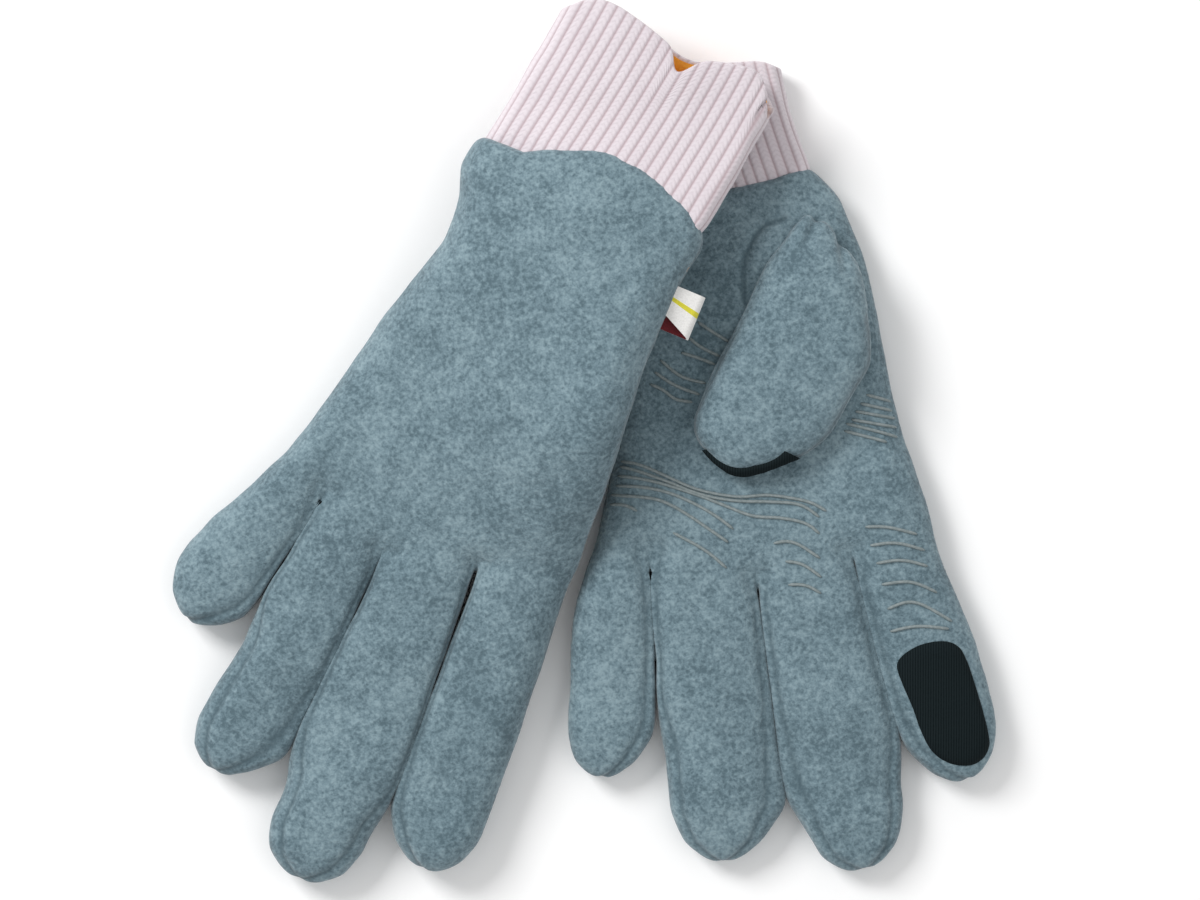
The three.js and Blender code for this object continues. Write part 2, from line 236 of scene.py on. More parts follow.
def smoothed(values, edges, rounds, share=0.5):
    """Each value moves towards the mean of its neighbours, several times over."""
    values = values.astype(float).copy()
    flat = values.reshape(len(values), -1)
    count = np.maximum(np.bincount(edges.ravel(), minlength=len(values)), 1)[:, None]
    for _ in range(rounds):
        total = np.zeros_like(flat)
        for k in range(flat.shape[1]):
            total[:, k] = np.bincount(edges[:, 0], flat[edges[:, 1], k], len(flat))
            total[:, k] += np.bincount(edges[:, 1], flat[edges[:, 0], k], len(flat))
        flat += share * (total / count - flat)
    return flat.reshape(values.shape)


def vertex_normals(points, quads):
    across = points[quads[:, 2]] - points[quads[:, 0]]
    along = points[quads[:, 3]] - points[quads[:, 1]]
    face = np.cross(across, along)
    normals = np.zeros_like(points)
    for corner in range(4):
        for k in range(3):
            normals[:, k] += np.bincount(quads[:, corner], face[:, k], len(points))
    length = np.linalg.norm(normals, axis=1, keepdims=True)
    return normals / np.maximum(length, 1e-9)


def spline(points, step, closed=False):
    """A smooth curve through the points, at even steps."""
    points = np.array(points, float)
    padded = (
        np.vstack([points[-1:], points, points[:2]])
        if closed
        else np.vstack([2 * points[0] - points[1], points, 2 * points[-1] - points[-2]])
    )
    dense = []
    for a, b, c, d in zip(padded, padded[1:], padded[2:], padded[3:]):
        for t in np.linspace(0, 1, 12, endpoint=False):
            dense.append(
                0.5 * (2 * b + (c - a) * t + (2 * a - 5 * b + 4 * c - d) * t**2)
                + 0.5 * (3 * b - a - 3 * c + d) * t**3
            )
    dense.append(padded[-2])
    dense = np.array(dense)
    run = np.concatenate([[0], np.cumsum(np.linalg.norm(np.diff(dense, axis=0), axis=1))])
    count = max(int(run[-1] / step), 3)
    even = np.linspace(0, run[-1], count + (0 if closed else 1), endpoint=not closed)
    return np.column_stack([np.interp(even, run, dense[:, k]) for k in range(dense.shape[1])])


def ease(value, start, end):
    share = np.clip((value - start) / (end - start), 0, 1)
    return share * share * (3 - 2 * share)


# %% [markdown]
# ## Where the fingers and thumbs turn
#
# The hinges of the frame say where each finger leaves the hand and which way it points. The plan
# direction of a finger is square to its hinge axis.


# %% Finger directions
def hinge(joint_name):
    """The hinge's place in millimetres, and the plan direction from it to the tip."""
    joint = joints[joint_name]
    place = np.array(joint["pos_m"]) / MM
    x, y, _ = joint["axis"]
    sign = 1 if joint_name.startswith("left") else -1
    return place, sign * np.array([-y, x, 0.0])


def finger_nodes(side, finger):
    names = [f"{side}_{finger}_palm", f"{side}_{finger}_back"]
    if finger != "little":
        names.append(f"{side}_{finger}_gusset_outer")
    if finger != "index":
        names.append(f"{side}_{finger}_gusset_inner")
    return names


place, along = hinge("left_middle_bend")
print("left middle finger leaves the hand at", place.round(1), "towards", along.round(2))

# %% [markdown]
# ## Solid forms of the gloves
#
# A lined glove lying flat is a full, rounded form, so each one starts as a solid: a convex form
# for every finger, reaching a little into the hand, and a hand filled with small blocks cut from
# its two panels, so that it keeps the curve it is draped over. A voxel remesh joins them into one
# skin. The alternative, lofting the skin through hand-made rings, would need its own joins
# where five fingers leave one palm.


# %% Fingers and hands as solids
def finger_solid(side, finger):
    points = np.vstack([node_points(name) for name in finger_nodes(side, finger)])
    place, along = hinge(f"{side}_{finger}_bend")
    root = points[(points - place) @ along < 2]
    return hull(np.vstack([points, root - ROOT_LAP * along]))


def cut(bm, axis, low, high):
    """A copy of bm between two planes square to an axis."""
    part = bm.copy()
    for place, sign in ((low, -1), (high, 1)):
        normal = [0, 0, 0]
        normal[axis] = sign
        point = [0, 0, 0]
        point[axis] = place
        everything = part.verts[:] + part.edges[:] + part.faces[:]
        bmesh.ops.bisect_plane(
            part, geom=everything, plane_co=point, plane_no=normal, clear_outer=True
        )
    return part


def hand_solids(side):
    bm = bmesh.new()
    for name in (f"{side}_back_panel", f"{side}_palm_panel"):
        bm.from_mesh(frame["nodes"][name].data)
    bmesh.ops.scale(bm, vec=(1 / MM,) * 3, verts=bm.verts)
    bmesh.ops.remove_doubles(bm, verts=bm.verts, dist=1e-3)
    places = np.array([vert.co for vert in bm.verts])
    low, high = places.min(axis=0), places.max(axis=0)
    solids = []
    for y in np.arange(low[1], high[1], CELL):
        slab = cut(bm, 1, y - CELL_LAP, y + CELL + CELL_LAP)
        for x in np.arange(low[0], high[0], CELL):
            block = cut(slab, 0, x - CELL_LAP, x + CELL + CELL_LAP)
            points = np.array([vert.co for vert in block.verts])
            if len(points) > 5 and (np.ptp(points, axis=0) > 0.2).all():
                solids.append(hull(points))
            block.free()
        slab.free()
    bm.free()
    return solids


def crotch(side, first, second):
    """Where two neighbouring fingers part, and the plan direction between them."""
    places, ways = [], []
    for finger, face in ((first, "inner"), (second, "outer")):
        points = node_points(f"{side}_{finger}_gusset_{face}")
        _, along = hinge(f"{side}_{finger}_bend")
        forward = points @ along
        places.append(points[forward < forward.min() + 1].mean(axis=0))
        ways.append(along)
    way = np.mean(ways, axis=0)
    return np.mean(places, axis=0), way / np.linalg.norm(way)


def web_solid(place, way):
    """A small web of fabric between two fingers, thinner towards their tips."""
    aside = np.cross(UP, way)
    corners = []
    for forward, half in ((-5, 5.5), (WEB_REACH * 0.4, 4.5), (WEB_REACH, 1.5)):
        for across in (-WEB_HALF, WEB_HALF):
            for rise in (-half, half):
                corners.append(place + forward * way + across * aside + rise * UP)
    return hull(np.array(corners))


crotches = {
    side: [crotch(side, *pair) for pair in zip(FINGERS, FINGERS[1:])] for side in SIDES
}
solids = {
    side: hand_solids(side)
    + [finger_solid(side, finger) for finger in FINGERS]
    + [web_solid(*found) for found in crotches[side]]
    for side in SIDES
}
skins = {side: voxel_skin(solids[side], VOXEL) for side in SIDES}
for side in SIDES:
    print(side, "solids", len(solids[side]), "skin points", len(skins[side][0]))

# %% [markdown]
# ## Swelling under pressure
#
# Two layers of fabric sewn round their edge bulge between the seams. A cloth simulation with air
# pressure inside a coarse copy gives that bulge, and the fine skin takes over its
# movement, capped, and mostly up and down so that neighbouring fingers don't grow together.


# %% Cloth pressure
PRESSURE = 4.0
PRESSURE_VOXEL = 4.0
PRESSURE_FRAMES = 14


def pressure_movement(solid_list):
    """Points of a coarse copy and how far each one moves under pressure."""
    before, quads = voxel_skin(solid_list, PRESSURE_VOXEL)
    balloon = add_object("balloon", plain_mesh("balloon", before, quads))
    cloth = balloon.modifiers.new("cloth", "CLOTH")
    cloth.settings.use_pressure = True
    cloth.settings.uniform_pressure_force = PRESSURE
    cloth.settings.effector_weights.gravity = 0
    cloth.settings.bending_stiffness = 0.3
    cloth.point_cache.frame_start = 1
    cloth.point_cache.frame_end = PRESSURE_FRAMES
    scene = bpy.context.scene
    for number in range(1, PRESSURE_FRAMES + 1):
        scene.frame_set(number)
    evaluated = balloon.evaluated_get(bpy.context.evaluated_depsgraph_get())
    after = read_mesh(evaluated.data)
    scene.frame_set(1)
    bpy.data.objects.remove(balloon)
    return before, after - before


def swell(points, solid_list, cap):
    """The points, moved as the coarse copy moves, up to the cap."""
    places, moves = pressure_movement(solid_list)
    length = np.linalg.norm(moves, axis=1, keepdims=True)
    moves = moves * np.minimum(1, cap / np.maximum(length, 1e-6))
    moves[:, :2] *= PUFF_SIDEWAYS
    tree = KDTree(len(places))
    for number, point in enumerate(places):
        tree.insert(point, number)
    tree.balance()
    swollen = points.copy()
    for number, point in enumerate(points):
        near = tree.find_n(point, 6)
        weights = np.array([1 / (distance + 0.5) ** 2 for _, _, distance in near])
        chosen = [index for _, index, _ in near]
        swollen[number] += weights @ moves[chosen] / weights.sum()
    print("pressure moved the coarse copy by", length.mean().round(2), "mm on average")
    return swollen


# %% [markdown]
# ## Seams and soft dents
#
# The panels of the frame say where the fabric is sewn: along every line where the back, the palm
# and the strips between the fingers meet. A point's distances to these three groups are equal on
# a seam, so comparing them gives the valley without a jagged edge. No valley is made where a
# finger leaves the hand, because the fabric runs on there. Slow noise gives the fleece the slight
# unevenness of a worn glove.


# %% Seam valleys
def group_names(side):
    back = [f"{side}_back_panel"] + [f"{side}_{finger}_back" for finger in FINGERS]
    palm = [f"{side}_palm_panel"] + [f"{side}_{finger}_palm" for finger in FINGERS]
    strips = [name for finger in FINGERS for name in finger_nodes(side, finger)[2:]]
    return back, palm, strips


skin_names = {
    side: [name for group in group_names(side) for name in group] for side in SIDES
}


def finger_of(name):
    return next((finger for finger in FINGERS if f"_{finger}_" in name), None)


def nearest_distances(tree, points):
    return np.array([tree.find_nearest(point)[3] for point in points])


def seam_measure(points, groups):
    """How far a point is from a seam, and from its nearest panel."""
    distances = np.array([nearest_distances(nodes_tree(group)[0], points) for group in groups])
    distances.sort(axis=0)
    return np.sqrt(distances[1] ** 2 - distances[0] ** 2), distances[0]


PALM_SEAM = [(58, 66), (52, 63.5), (48.2, 58.5), (46.2, 53), (45.8, 48), (46.6, 42), (48, 37)]
PALM_SEAM_LEVEL = 8.0  # points above this are on the upper face


def palm_seam(points):
    """The oval seam that sets the thumb into the left palm, on the upper face only."""
    line = spline(PALM_SEAM, 0.6)
    tree = KDTree(len(line))
    for number, (x, y) in enumerate(line):
        tree.insert((x, y, 0), number)
    tree.balance()
    away = np.array([tree.find((x, y, 0))[2] for x, y, _ in points])
    return np.exp(-((away / PALM_SEAM_WIDTH) ** 2)) * (points[:, 2] > PALM_SEAM_LEVEL)


def waves(points, wavelength, height, seed):
    shift = Vector((seed, 2 * seed, 3 * seed))
    return np.array(
        [height * noise.noise(Vector(point) / wavelength + shift) for point in points]
    )


# %% [markdown]
# ## Skin pieces
#
# The skin is parted again into the pieces it is sewn from, each the part of the skin that lies
# nearest to its panel. A piece gets a wall, and keeps the normals of the whole skin, so
# that no line shows where two pieces meet on a smooth surface.


# %% Walls
def walled_mesh(name, points, normals, quads, wall, seam):
    """A closed wall under the given quads: outer face, inner face and rim."""
    used, flat = np.unique(quads, return_inverse=True)
    outer = flat.reshape(-1, 4)
    count = len(used)
    edges = np.vstack([outer[:, [i, (i + 1) % 4]] for i in range(4)])
    codes = edges[:, 0] * count + edges[:, 1]
    reverse = edges[:, 1] * count + edges[:, 0]
    border = edges[~np.isin(codes, reverse)]
    rim = np.column_stack([border[:, 1], border[:, 0], border[:, 0] + count, border[:, 1] + count])
    inner = outer[:, ::-1] + count
    own = points[used]
    own_normals = normals[used]
    all_points = np.vstack([own, own - wall * own_normals])
    mesh = plain_mesh(name, all_points, np.vstack([outer, inner, rim]))
    smooth_shaded(mesh)
    mesh.normals_split_custom_set_from_vertices(np.vstack([own_normals, -own_normals]).tolist())
    # the seam mark says where the fleece gets painted shade in its seam valleys and pleats
    mark = mesh.attributes.new("seam", "FLOAT", "POINT")
    mark.data.foreach_set("value", np.tile(seam[used], 2).astype(np.float32))
    return mesh


def nearest_owner(points, quads, names):
    """The number of the node that lies nearest to the middle of each quad."""
    tree, owner = nodes_tree(names)
    middles = points[quads].mean(axis=1)
    found = [tree.find_nearest(middle)[2] for middle in middles]
    return owner[np.array(found)]


def mesh_volume(mesh):
    points = read_mesh(mesh)
    triangles = points[read_triangles(mesh)]
    return np.einsum("ij,ij->i", triangles[:, 0], np.cross(triangles[:, 1], triangles[:, 2])).sum() / 6


PANEL_WALL = {
    "thumb": 2.0, "pad": 0.8, "lining": 0.8, "facing": 0.8, "cuff": 2.4, "label": 0.8,
}
FLEECE_WALL = 1.8
NARROWEST = 10.5
CUT_SHARE = 0.85  # share of its rectangle that a cut panel fills


def flat_size(name):
    """Width, length and area that the fabric of a panel was cut to."""
    mesh = frame["nodes"][name].data
    wall = next((value for word, value in PANEL_WALL.items() if word in name), FLEECE_WALL)
    area = abs(mesh_volume(mesh)) / wall
    points = node_points(name)[:, :2]
    spread = points - points.mean(axis=0)
    _, axes = np.linalg.eigh(spread.T @ spread)
    length = np.ptp(spread @ axes[:, 1])
    width = max(area / length / CUT_SHARE, NARROWEST)
    return width, length, area


# The frame's panels stop short of their seams, so the cut cloth is wider by these shares.
SEAM_ALLOWANCE = {
    "gusset": 1.4,
    "thumb_back": 1.15,
    "thumb_palm": 1.25,
    "left_thumb_touch_pad": 2.1,
    "right_thumb_touch_pad": 1.3,
    "rib_cuff": 1.15,
}


def declare_sheet(piece, node_name):
    """Says what size of cloth the piece was cut from, and prints its area as a share of that."""
    width, length, area = flat_size(node_name)
    wider = next((value for word, value in SEAM_ALLOWANCE.items() if word in node_name), 1.0)
    width, area = width * wider, area * wider
    own = sum(face.area for face in piece.data.polygons) / 2 / MM**2
    print(f"{node_name}: cut {width:.0f} x {length:.0f} mm, used {own / area:.2f} of it")


# %% [markdown]
# ## Materials
#
# The fleece is a melange of grey-teal fibres, so its colour varies from fibre to fibre and it has
# a soft fuzz that catches the light at the edges. Its tone adds up a fine speckle, blotches, slow
# clouds, and two stretched noises crossing each other for the felted fibres. All textures read
# Object coordinates or a UV map that follows the fabric.

# %% Shader tools
FLEECE_DARK = (0.082, 0.130, 0.155)
FLEECE_MID = (0.141, 0.209, 0.243)
FLEECE_LIGHT = (0.220, 0.305, 0.342)
# painted shade: the fleece colour in the seam valleys and in the thumbs' pleats
SEAM_PAINTED_SHADE = (0.055, 0.092, 0.112)
RIB_LIGHT = (0.665, 0.61, 0.645)
RIB_SHADE = (0.56, 0.49, 0.525)
# painted shade: the knit's colour in the grooves between the ribs
RIB_GROOVE_SHADE = (0.44, 0.345, 0.37)
ORANGE = (0.95, 0.42, 0.05)
PAD_BLACK = (0.003, 0.006, 0.007)
PAD_PAINTED_SHEEN = (0.010, 0.016, 0.018)
LABEL_WHITE = (0.86, 0.85, 0.83)
LABEL_RED = (0.16, 0.008, 0.014)
LABEL_YELLOW = (0.72, 0.66, 0.05)
GRIP_GREY = (0.26, 0.30, 0.305)
GRIP_DARK = (0.18, 0.22, 0.225)


class Shader:
    """A material and short ways to add its nodes."""

    def __init__(self, name, roughness, sheen=0.0):
        self.material = bpy.data.materials.new(name)
        self.material.use_nodes = True
        self.tree = self.material.node_tree
        self.surface = self.tree.nodes["Principled BSDF"]
        self.surface.inputs["Roughness"].default_value = roughness
        self.surface.inputs["Sheen Weight"].default_value = sheen
        self.surface.inputs["Sheen Roughness"].default_value = 0.5
        self.surface.inputs["Specular IOR Level"].default_value = 0.2

    def add(self, kind, settings=None, **inputs):
        node = self.tree.nodes.new(kind)
        for name, value in (settings or {}).items():
            setattr(node, name, value)
        for name, value in inputs.items():
            socket = node.inputs[int(name[1:])] if name[0] == "_" else node.inputs[name]
            self.feed(socket, value)
        return node

    def feed(self, socket, value):
        if isinstance(value, bpy.types.NodeSocket):
            self.tree.links.new(value, socket)
        elif isinstance(value, tuple) and len(value) == 3 and socket.type == "RGBA":
            socket.default_value = (*value, 1)
        else:
            socket.default_value = value

    def coordinates(self, which="Object"):
        return self.add("ShaderNodeTexCoord").outputs[which]

    def attribute(self, name):
        return self.add("ShaderNodeAttribute", {"attribute_name": name}).outputs["Fac"]

    def math(self, operation, first, second=0.0, third=0.0):
        node = self.add("ShaderNodeMath", {"operation": operation}, _0=first, _1=second, _2=third)
        return node.outputs[0]

    def noise(self, vector, scale, detail=2.0, roughness=0.5):
        node = self.add(
            "ShaderNodeTexNoise", Vector=vector, Scale=scale, Detail=detail, Roughness=roughness
        )
        return node.outputs["Fac"]

    def stretched(self, vector, turn, stretch):
        """The vector turned about Z and squeezed along one axis, for fibres."""
        node = self.add("ShaderNodeMapping", {"vector_type": "TEXTURE"}, Vector=vector)
        node.inputs["Rotation"].default_value = turn
        node.inputs["Scale"].default_value = stretch
        return node.outputs["Vector"]

    def ramp(self, value, stops):
        node = self.add("ShaderNodeValToRGB", _0=value)
        elements = node.color_ramp.elements
        while len(elements) < len(stops):
            elements.new(0.5)
        for element, (place, colour) in zip(elements, stops):
            element.position = place
            element.color = (*colour, 1)
        return node.outputs["Color"]

    def mix(self, share, first, second):
        node = self.add("ShaderNodeMix", {"data_type": "RGBA"}, _0=share, _6=first, _7=second)
        return node.outputs[2]

    def colour(self, value):
        self.feed(self.surface.inputs["Base Color"], value)

    def bump(self, height, distance, strength=1.0):
        node = self.add("ShaderNodeBump", Height=height, Distance=distance, Strength=strength)
        self.tree.links.new(node.outputs["Normal"], self.surface.inputs["Normal"])


# %% Fleece
def fleece_material():
    shader = Shader("melange_fleece", 0.95, sheen=0.25)
    place = shader.coordinates()
    speckle = shader.noise(place, 780, 3, 0.62)
    blotches = shader.noise(place, 210, 3, 0.6)
    clouds = shader.noise(place, 45, 2, 0.5)
    fibres = [
        shader.noise(shader.stretched(place, (0, 0, turn), (2.0, 1, 1)), 1100, 2, 0.6)
        for turn in (0.4, -0.9)
    ]
    crossed = shader.math("MAXIMUM", fibres[0], fibres[1])
    tone = shader.math("MULTIPLY", speckle, 0.5)
    tone = shader.math("MULTIPLY_ADD", crossed, 0.24, tone)
    tone = shader.math("MULTIPLY_ADD", blotches, 0.25, tone)
    tone = shader.math("MULTIPLY_ADD", clouds, 0.25, tone)
    stops = [(0.53, FLEECE_DARK), (0.635, FLEECE_MID), (0.75, FLEECE_LIGHT)]
    colour = shader.ramp(tone, stops)
    # painted shade: the colour darkens towards the seam colour where the seam mark is high, in the
    # seam valleys and the thumbs' pleats
    seam = shader.math("POWER", shader.attribute("seam"), 2.0)
    shader.colour(shader.mix(shader.math("MULTIPLY", seam, 0.85), colour, SEAM_PAINTED_SHADE))
    shader.bump(shader.math("MULTIPLY_ADD", speckle, 0.8, crossed), 0.0006, 0.6)
    return shader.material


# %% [markdown]
# The rib is knitted in columns of small V-shaped stitches. Its UV map counts ribs round the cuff
# and stitches along it, so the stitches lean the right way on both halves of a rib.


# %% Rib knit, lining, pads, label and grip print
def rib_material():
    shader = Shader("pink_rib_knit", 0.9, sheen=0.3)
    parts = shader.add("ShaderNodeSeparateXYZ", _0=shader.coordinates("UV"))
    across = shader.math("FRACT", parts.outputs[0])
    lean = shader.math("ABSOLUTE", shader.math("SUBTRACT", across, 0.5))
    row = shader.math("MULTIPLY_ADD", lean, 1.4, parts.outputs[1])
    stitch = shader.math("ABSOLUTE", shader.math("SINE", shader.math("MULTIPLY", row, math.pi)))
    fuzz = shader.noise(shader.coordinates(), 1800, 2, 0.6)
    clouds = shader.noise(shader.coordinates(), 90, 2, 0.5)
    shade = shader.math("MULTIPLY_ADD", fuzz, 0.5, shader.math("MULTIPLY", stitch, -0.3))
    shade = shader.math("MULTIPLY_ADD", clouds, 0.4, shade)
    light = shader.mix(shader.math("MAXIMUM", shade, 0.0), RIB_LIGHT, RIB_SHADE)
    # painted shade: the colour darkens in the grooves between the ribs, by the groove mark
    shader.colour(shader.mix(shader.attribute("groove"), light, RIB_GROOVE_SHADE))
    shader.bump(shader.math("MULTIPLY_ADD", fuzz, 0.6, stitch), 0.00018, 0.5)
    return shader.material


def soft_material(name, colour, dark, scale, depth, roughness=0.9, sheen=0.2):
    """A plain fabric: one colour with fine uneven fibres."""
    shader = Shader(name, roughness, sheen)
    place = shader.coordinates()
    grain = shader.noise(place, scale, 3, 0.6)
    shader.colour(shader.ramp(grain, [(0.35, dark), (0.65, colour)]))
    shader.bump(grain, depth, 0.7)
    return shader.material


def pad_material():
    shader = Shader("black_conductive_knit", 0.95)
    place = shader.coordinates()
    wale = shader.add("ShaderNodeTexWave", Vector=place, Scale=420.0, Distortion=0.6)
    grain = shader.noise(place, 1400, 2, 0.6)
    knit = shader.math("MULTIPLY_ADD", grain, 0.6, wale.outputs["Fac"])
    # painted sheen: the wales of the knit are a little lighter than the black
    shader.colour(shader.ramp(knit, [(0.2, PAD_BLACK), (1.0, PAD_PAINTED_SHEEN)]))
    shader.bump(knit, 0.0001, 0.4)
    shader.surface.inputs["Specular IOR Level"].default_value = 0.08
    return shader.material


FLEECE = fleece_material()
RIB = rib_material()
LINING = soft_material("orange_lining", ORANGE, (0.80, 0.30, 0.03), 900, 0.0003)
PAD = pad_material()
LABEL = soft_material("white_ribbon", LABEL_WHITE, (0.74, 0.73, 0.71), 2200, 0.0001, 0.6)
LABEL_BACK = soft_material("red_ribbon", LABEL_RED, (0.09, 0.004, 0.008), 2200, 0.0001, 0.6)
LABEL_STRIPE = soft_material("yellow_stripe", LABEL_YELLOW, (0.60, 0.55, 0.04), 2200, 0.0001, 0.6)
GRIP = soft_material("grip_print", GRIP_GREY, GRIP_DARK, 1200, 0.0001, 0.6, 0.0)
for node in frame["nodes"].values():
    node.data.materials.clear()
    node.data.materials.append(FLEECE)

# %% [markdown]
# ## Where the cuffs lie
#
# Each cuff is given by three rows across it in plan: where it meets the fleece, its middle, and its
# mouth. A row has two ends and a bow between them. The hem says how far the fleece's edge strays
# from the first row, and the mouth and the dips how the fold at the end does.

# %% Cuff rows
DRAPE_LIFT, DRAPE_RISE = 1.2, 24.5
CUFFS = {
    "left": {
        "seam": ((1.5, 71), (66.5, 80.5), 2),
        "middle": ((-3, 89), (61, 96), 1),
        "end": ((-7, 107), (57, 110.5), 0),
        "thick": 13,
        "hem": ((-1, -3.5), (0.2, -4), (0.34, -3.6), (0.64, -2.0), (0.92, 0.8), (1, 0.8)),
        "mouth": ((-1, -2.5), (-0.85, 0), (0.85, 1.0), (1, -2.0)),
        "dips": (),
    },
    "right": {
        "seam": ((-29.6, 88), (34.8, 61.2), 8),
        "middle": ((-18, 107), (45.5, 79.5), 5),
        "end": ((-6.5, 127.2), (54.5, 96), 1),
        "thick": 15,
        "hem": (
            (-1, 0), (-0.86, -1.8), (-0.64, -3.5), (-0.45, -1.0), (-0.14, 2.2), (0.075, 3.0),
            (0.305, 3.0), (0.54, 1.9), (0.79, 1.0), (0.95, 0), (1, 0),
        ),
        "mouth": (
            (-1, -2.5), (-0.79, 3.6), (-0.57, 4.6), (-0.3, 3.6), (0.04, 1.2), (0.14, 0.6),
            (0.26, 2.2), (0.48, 5.7), (0.69, 8.0), (0.79, 6.8), (0.95, 0.8), (1, -1.5),
        ),
        "dips": ((0.13, 0.10, 6.0), (0.98, 0.10, 4.0)),
    },
}


def drape(x, y):
    across = ease(x, -75, 12)
    along = ease(y, -50, 10)
    sag = 0.35 * ease(y, 55, 100)
    return DRAPE_LIFT + DRAPE_RISE * across * (along - sag)


def row_axes(row):
    """Middle of a cuff row, its half as a vector, the direction out of the cuff, and its bow."""
    left, right, bow = row
    left, right = np.array(left, float), np.array(right, float)
    half = (right - left) / 2
    up = np.array([-half[1], half[0]]) / np.linalg.norm(half)
    return (left + right) / 2, half, up, bow


def row_point(row, share):
    """Plan point at a share from -1 to 1 across a cuff row."""
    middle, half, up, bow = row_axes(row)
    return middle + half * share + up * bow * (1 - share**2)


def hemmed(side, points):
    """The wrist edge of the fleece pulled to its wavy line, over the last few millimetres."""
    middle, half, up, bow = row_axes(CUFFS[side]["seam"])
    offset = points[:, :2] - middle
    share = offset @ half / (half @ half)
    behind = bow * (1 - share**2) - offset @ up
    move = np.interp(share, *zip(*CUFFS[side]["hem"])) * (1 - ease(behind, 0, HEM_REACH))
    moved = points.copy()
    moved[:, :2] += move[:, None] * up
    return moved


# %% [markdown]
# ## The gloves' skins
#
# Each skin is rounded by averaging, swollen by pressure, dented along its seams and opened at the
# wrist. The upper glove's underside may not sink into the table, so points are kept above it.

# %% Shape the skins
bodies = {}
THUMB_ROOT = (54, 56)  # the palm rises here round the thumb's root
THUMB_ROOT_RISE, THUMB_ROOT_REACH = 2.4, 8.0
BROAD_WAVES, SMALL_WAVES = (22, 0.9), (7, 0.25)  # wavelength and height of the fleece's unevenness
WRIST_FROM = 40.0  # the open end is beyond this


def crotch_share(side, points):
    """1 where two fingers part, falling to 0 a few millimetres away."""
    share = np.zeros(len(points))
    for place, way in crotches[side]:
        offset = (points - place - 2 * way)[:, :2]
        share = np.maximum(share, np.exp(-((np.linalg.norm(offset, axis=1) / CROTCH_REACH) ** 2)))
    return share


# Where the laid fabric bulges sideways: place in plan, radius of the bulge, and its movement.
BULGES = {
    "left": [
        ((-5, -45), 22, (-3.2, 0.0)),
        ((3, -92), 16, (-1.5, -3.2)),
        ((38, -121), 16, (0, -1.2)),
        ((78, -122), 18, (0.4, -1.6)),
        ((94, -95), 12, (1.4, 0)),
        ((119, -72), 14, (1.0, 0)),
        ((100, -8), 25, (0.9, 0.3)),
        ((82, 55), 18, (0.8, 0.8)),
    ],
    "right": [
        ((-55, 40), 30, (-2.6, 1.6)),
        ((-30, 84), 14, (-1.6, 1.6)),
        ((-110, -28), 18, (-2.2, 1.4)),
        ((-112, -85), 20, (-1.8, 0)),
        ((-92, -112), 16, (-1.5, 0)),
        ((-44, -124), 16, (0, -0.8)),
    ],
}


def bulged(side, points):
    moved = points.copy()
    for place, radius, move in BULGES[side]:
        away = np.linalg.norm(points[:, :2] - place, axis=1)
        moved[:, :2] += np.exp(-((away / radius) ** 2))[:, None] * np.array(move)
    return moved


def leaned(side, points, quads, edges, fade_rounds, gain):
    """Neighbouring fingers pressed together: each side moves half of the way to the other."""
    tree = BVHTree.FromPolygons(points.tolist(), quads.tolist())
    panels, owner = nodes_tree(skin_names[side])
    owners = owner[[panels.find_nearest(point)[2] for point in points]]
    fingers = np.array([finger_of(name) or "" for name in skin_names[side]])[owners]
    normals = vertex_normals(points, quads)
    moves = np.zeros_like(points)
    weight = np.zeros(len(points))
    for finger in FINGERS:
        _, along = hinge(f"{side}_{finger}_bend")
        forward = points @ along
        tips = {name: forward[fingers == name].max() for name in FINGERS}
        tips[""] = tips[finger]
        for sign in (-1, 1):
            aside = sign * np.cross(UP, along)
            for i in np.nonzero((fingers == finger) & (normals @ aside > LEAN_FACING))[0]:
                start = Vector(points[i] + 0.2 * aside)
                _, _, face, gap = tree.ray_cast(start, Vector(aside), LEAN_REACH)
                if gap is None:
                    continue
                end = min(tips[finger], tips[fingers[quads[face][0]]])
                reach = min(max(gap / 2 - LEAN_GAP / 2, 0), LEAN_MOST)
                reach *= ease(end - forward[i], *LEAN_FADE)
                moves[i] = aside * reach * (1 - ease(gap, LEAN_REACH * 0.6, LEAN_REACH))
                weight[i] = 1
    spread = smoothed(moves, edges, LEAN_ROUNDS)
    share = smoothed(weight, edges, LEAN_ROUNDS)
    field = spread / (share + LEAN_FLOOR)[:, None]
    return points + gain * smoothed(field, edges, fade_rounds)


